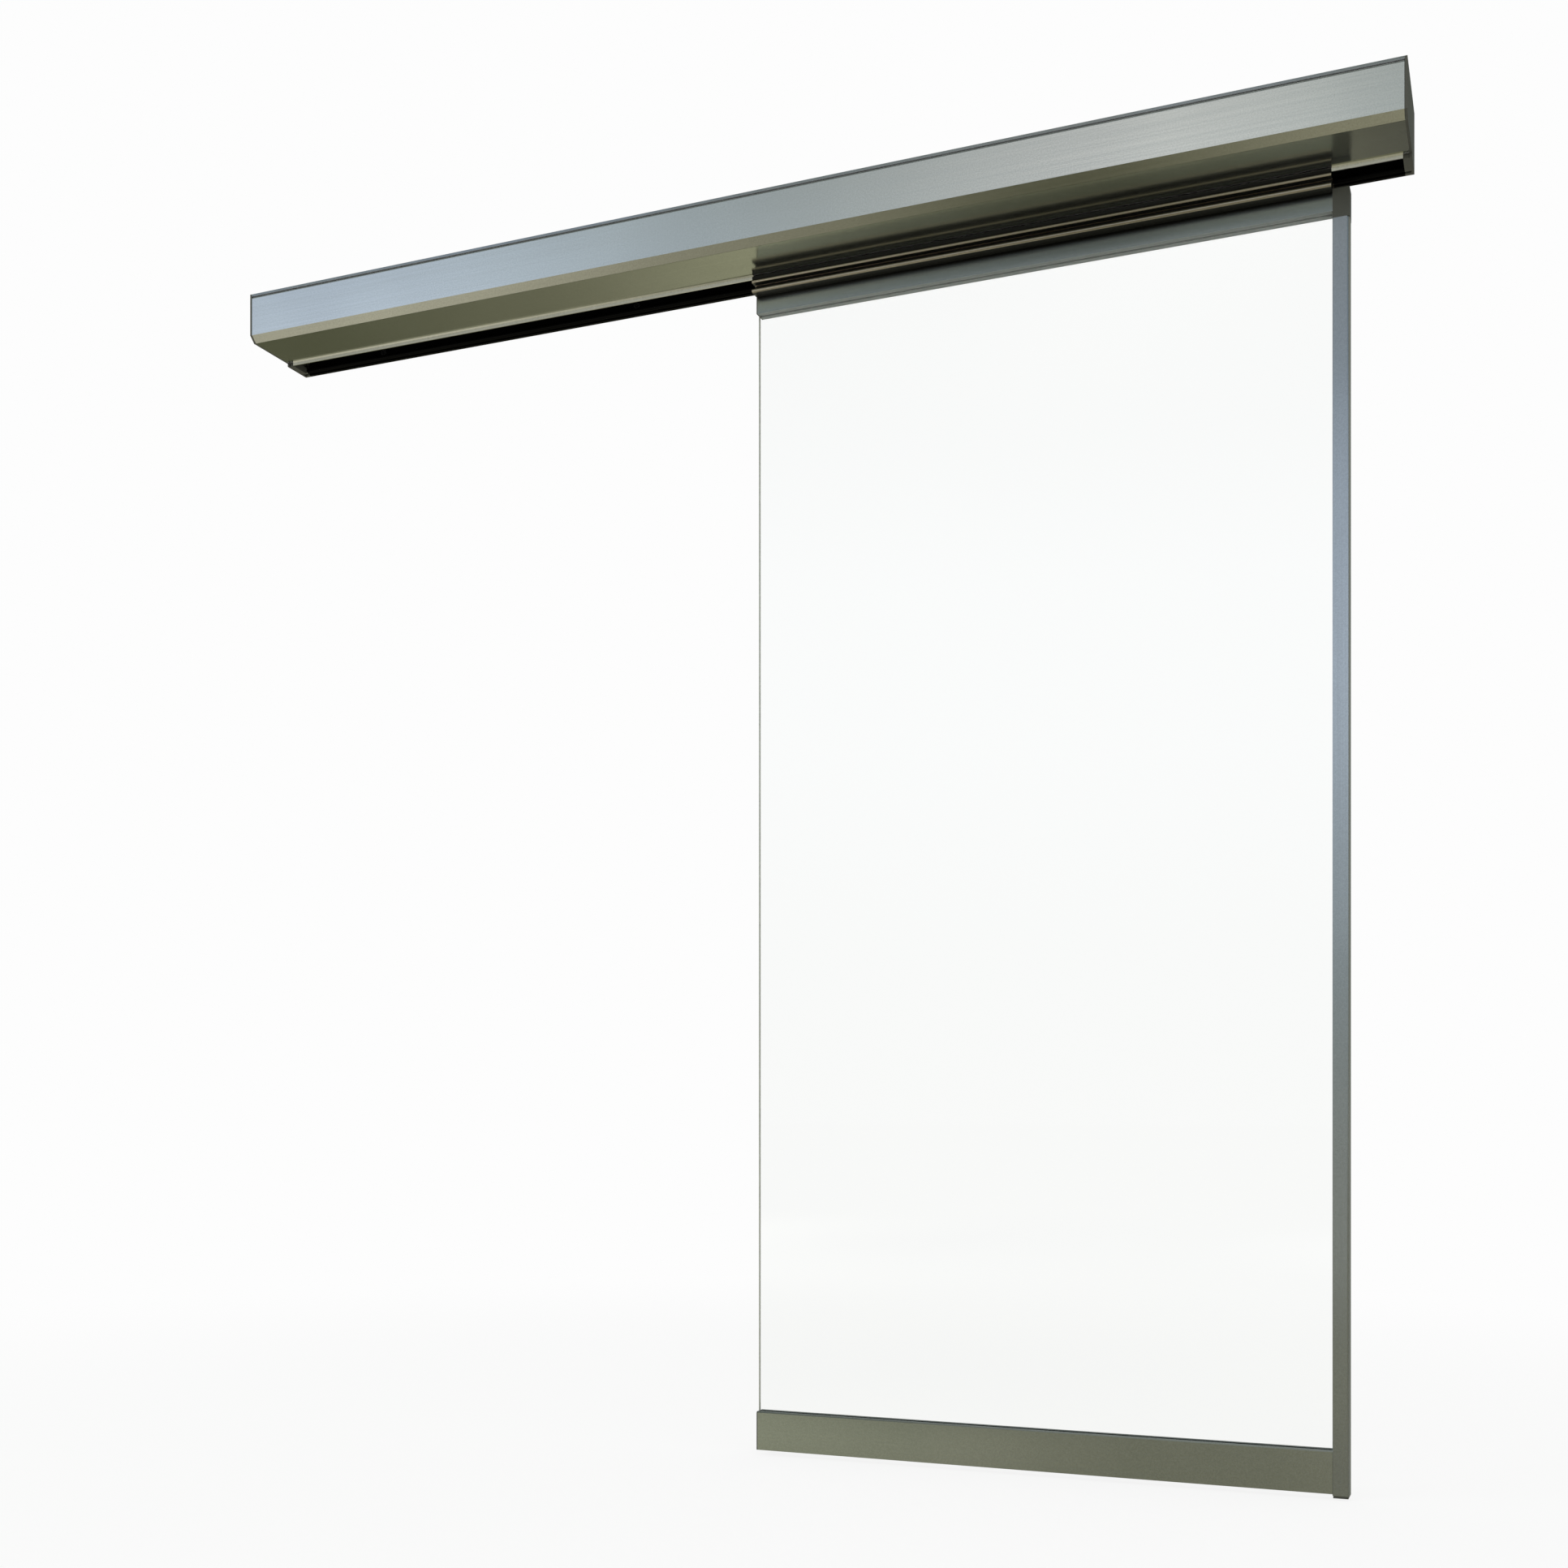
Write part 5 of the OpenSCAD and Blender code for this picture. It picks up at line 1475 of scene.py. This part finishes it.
        # Uncoated paper: the eye sees plain white, with the soft shadow of the door on it
        made = bpy.data.materials.new("matt paper floor")
        tree = blank_tree(made)
        seen, in_mirror = self._ways(tree)
        place = add_node(tree, "ShaderNodeTexCoord").outputs["Object"]
        away = add_node(tree, "ShaderNodeVectorMath", {0: place}, operation="LENGTH")
        near, more = self.near_white
        through = add_node(tree, "ShaderNodeLightPath").outputs["Is Transmission Ray"]
        shares = {0: through, 1: more, 2: near}
        least = add_node(tree, "ShaderNodeMath", shares, operation="MULTIPLY_ADD")
        start, end = self.white_from
        reach = {"Value": away, "From Min": start, "From Max": end, "To Min": least}
        share = add_node(tree, "ShaderNodeMapRange", reach, interpolation_type="SMOOTHSTEP")
        white = add_node(tree, "ShaderNodeMath", {0: seen, 1: share}, operation="MULTIPLY")
        paper = add_node(tree, "ShaderNodeBsdfDiffuse", {"Color": linear(self.paper)})
        glow = add_node(tree, "ShaderNodeEmission", {"Color": linear(self.white)})
        # In the mirror the floor glows with painted light: its base colour laid with painted pools
        # of light and shade
        tones = self._tones(tree, place, linear(self.floor_base), self.painted_floor_pools)
        mirrored = add_node(tree, "ShaderNodeEmission", {"Color": tones})
        own = add_node(tree, "ShaderNodeMixShader", {0: in_mirror, 1: paper, 2: mirrored})
        mixed = add_node(tree, "ShaderNodeMixShader", {0: white, 1: own, 2: glow})
        add_node(tree, "ShaderNodeOutputMaterial", {"Surface": mixed})
        mesh.materials.append(made)
        as_object(mesh)

    @staticmethod
    def _ways(tree: bpy.types.NodeTree) -> tuple[bpy.types.Node, bpy.types.Node]:
        """Tells apart what the camera sees, straight or through the glass, and what metal mirrors.

        Args:
            tree: the node tree.

        Returns:
            A node that gives 1 for the first, and one that gives 1 for the second.
        """
        path = add_node(tree, "ShaderNodeLightPath").outputs
        through, depth = path["Is Transmission Ray"], path["Glossy Depth"]
        bounced = add_node(tree, "ShaderNodeMath", {0: depth, 1: 0.5}, operation="GREATER_THAN")
        later = add_node(tree, "ShaderNodeMath", {0: through, 1: bounced}, operation="MULTIPLY")
        clear = add_node(tree, "ShaderNodeMath", {0: through, 1: later}, operation="SUBTRACT")
        seen, in_mirror = (
            add_node(tree, "ShaderNodeMath", {0: path[ray], 1: other}, operation="MAXIMUM")
            for ray, other in (("Is Camera Ray", clear), ("Is Glossy Ray", later))
        )
        return seen, in_mirror

    @staticmethod
    def _tones(
        tree: bpy.types.NodeTree, place: Feed, colour: Colour | Feed, tones: tuple[Tone, ...]
    ) -> bpy.types.Node:
        """Lays soft round tones over a base colour.

        Args:
            tree: the node tree.
            place: the point or direction that is looked at.
            colour: the base colour, or what gives it.
            tones: the tones, in order.

        Returns:
            The node that gives the colour.
        """
        for tone in tones:
            ball = {"Vector": place, "Location": tone.centre, "Scale": tone.reach}
            near = add_node(tree, "ShaderNodeMapping", ball, vector_type="TEXTURE")
            fade = add_node(tree, "ShaderNodeTexGradient", {0: near}, gradient_type="SPHERICAL")
            weight = {"Value": fade.outputs["Fac"], "To Max": tone.weight}
            soft = add_node(tree, "ShaderNodeMapRange", weight, interpolation_type="SMOOTHSTEP")
            laid = {0: soft, 6: colour, 7: tone.light()}
            colour = add_node(tree, "ShaderNodeMix", laid, data_type="RGBA")
        return colour

    def _world(self) -> bpy.types.World:
        """Makes the world: white to the camera, a soft dome to matt surfaces, a studio to metal.

        Returns:
            The world.
        """
        world = bpy.data.worlds.new("studio")
        tree = blank_tree(world)
        way = add_node(tree, "ShaderNodeTexCoord").outputs["Generated"]
        axes = add_node(tree, "ShaderNodeSeparateXYZ", {0: way}).outputs
        rise = {"Value": axes["Z"], "From Min": -1.0, "From Max": 1.0}
        level = add_node(tree, "ShaderNodeMapRange", rise)
        ramp = add_node(tree, "ShaderNodeValToRGB", {0: level})
        stops = ramp.color_ramp.elements
        while len(stops) < len(self.walls):
            stops.new(1.0)
        for stop, (degrees, colour) in zip(stops, self.walls):
            stop.position = (math.sin(math.radians(degrees)) + 1) / 2
            stop.color = linear(colour)
        start, end, most = self.behind_from
        back = {"Value": axes["Y"], "From Min": start, "From Max": end, "To Max": most}
        seen, in_mirror = self._ways(tree)
        front = self._tones(tree, way, ramp, self.wall_tones)
        rear = add_node(tree, "ShaderNodeMapRange", back)
        mix = {0: rear, 6: front, 7: linear(self.behind)}
        studio = add_node(tree, "ShaderNodeMix", mix, data_type="RGBA")
        mix = {0: in_mirror, 6: linear(self.dome), 7: studio}
        lit = add_node(tree, "ShaderNodeMix", mix, data_type="RGBA")
        mix = {0: seen, 6: lit, 7: linear(self.white)}
        colour = add_node(tree, "ShaderNodeMix", mix, data_type="RGBA")
        glow = add_node(tree, "ShaderNodeBackground", {0: colour, 1: 1.0})
        add_node(tree, "ShaderNodeOutputWorld", {0: glow})
        world.cycles.sampling_method = "NONE"
        return world

    def _lamp(self, scene: bpy.types.Scene, box: SoftBox) -> None:
        """Hangs a lamp, out of sight of metal and glass.

        Args:
            scene: the scene that it lights.
            box: the lamp.
        """
        data = bpy.data.lights.new(box.name, "AREA")
        data.size, data.energy = box.size, box.power
        lamp = bpy.data.objects.new(box.name, data)
        lamp.visible_glossy = lamp.visible_transmission = False
        lamp.location = box.place
        way = Vector(self.aim) - Vector(box.place)
        lamp.rotation_euler = way.to_track_quat("-Z", "Y").to_euler()
        scene.collection.objects.link(lamp)


@dataclass
class CadNodes:
    """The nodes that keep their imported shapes, each dressed in the finish of its slot.

    Attributes:
        own: the finish of each node that differs from the rest of its slot.
    """

    own: dict[str, Finish] = field(
        default_factory=lambda: {
            "closing_stile": STILE_FINISH,
            "clamp_rail_front": TOP_RAIL_FINISH,
            "clamp_rail_back": BACK_RAIL_FINISH,
            "hanger_profile": HANGER_FINISH,
            "clamp_gaskets": GLAZING_GREY,
        }
    )

    def dress(self) -> None:
        """Gives every shown node its material."""
        for part in frame["record"]["subparts"]:
            name, slot = part["node"], part["material_slot"]
            node, finish = frame["nodes"][name], self.own.get(name, FINISHES[Slot(slot)])
            node.data.materials.clear()
            node.data.materials.append(finish.material())
            LOG.info("%s: %s", name, finish.name)


def main() -> None:
    """Builds the dressed door and its picture."""
    logging.basicConfig(level=logging.INFO, format="%(name)s: %(message)s")
    Studio().build()
    CadNodes().dress()
    GlassPane().build()
    EdgeBrush().build()
    RunningGear().build()
    SmallFasteners().build()


if __name__ == "__main__":
    main()
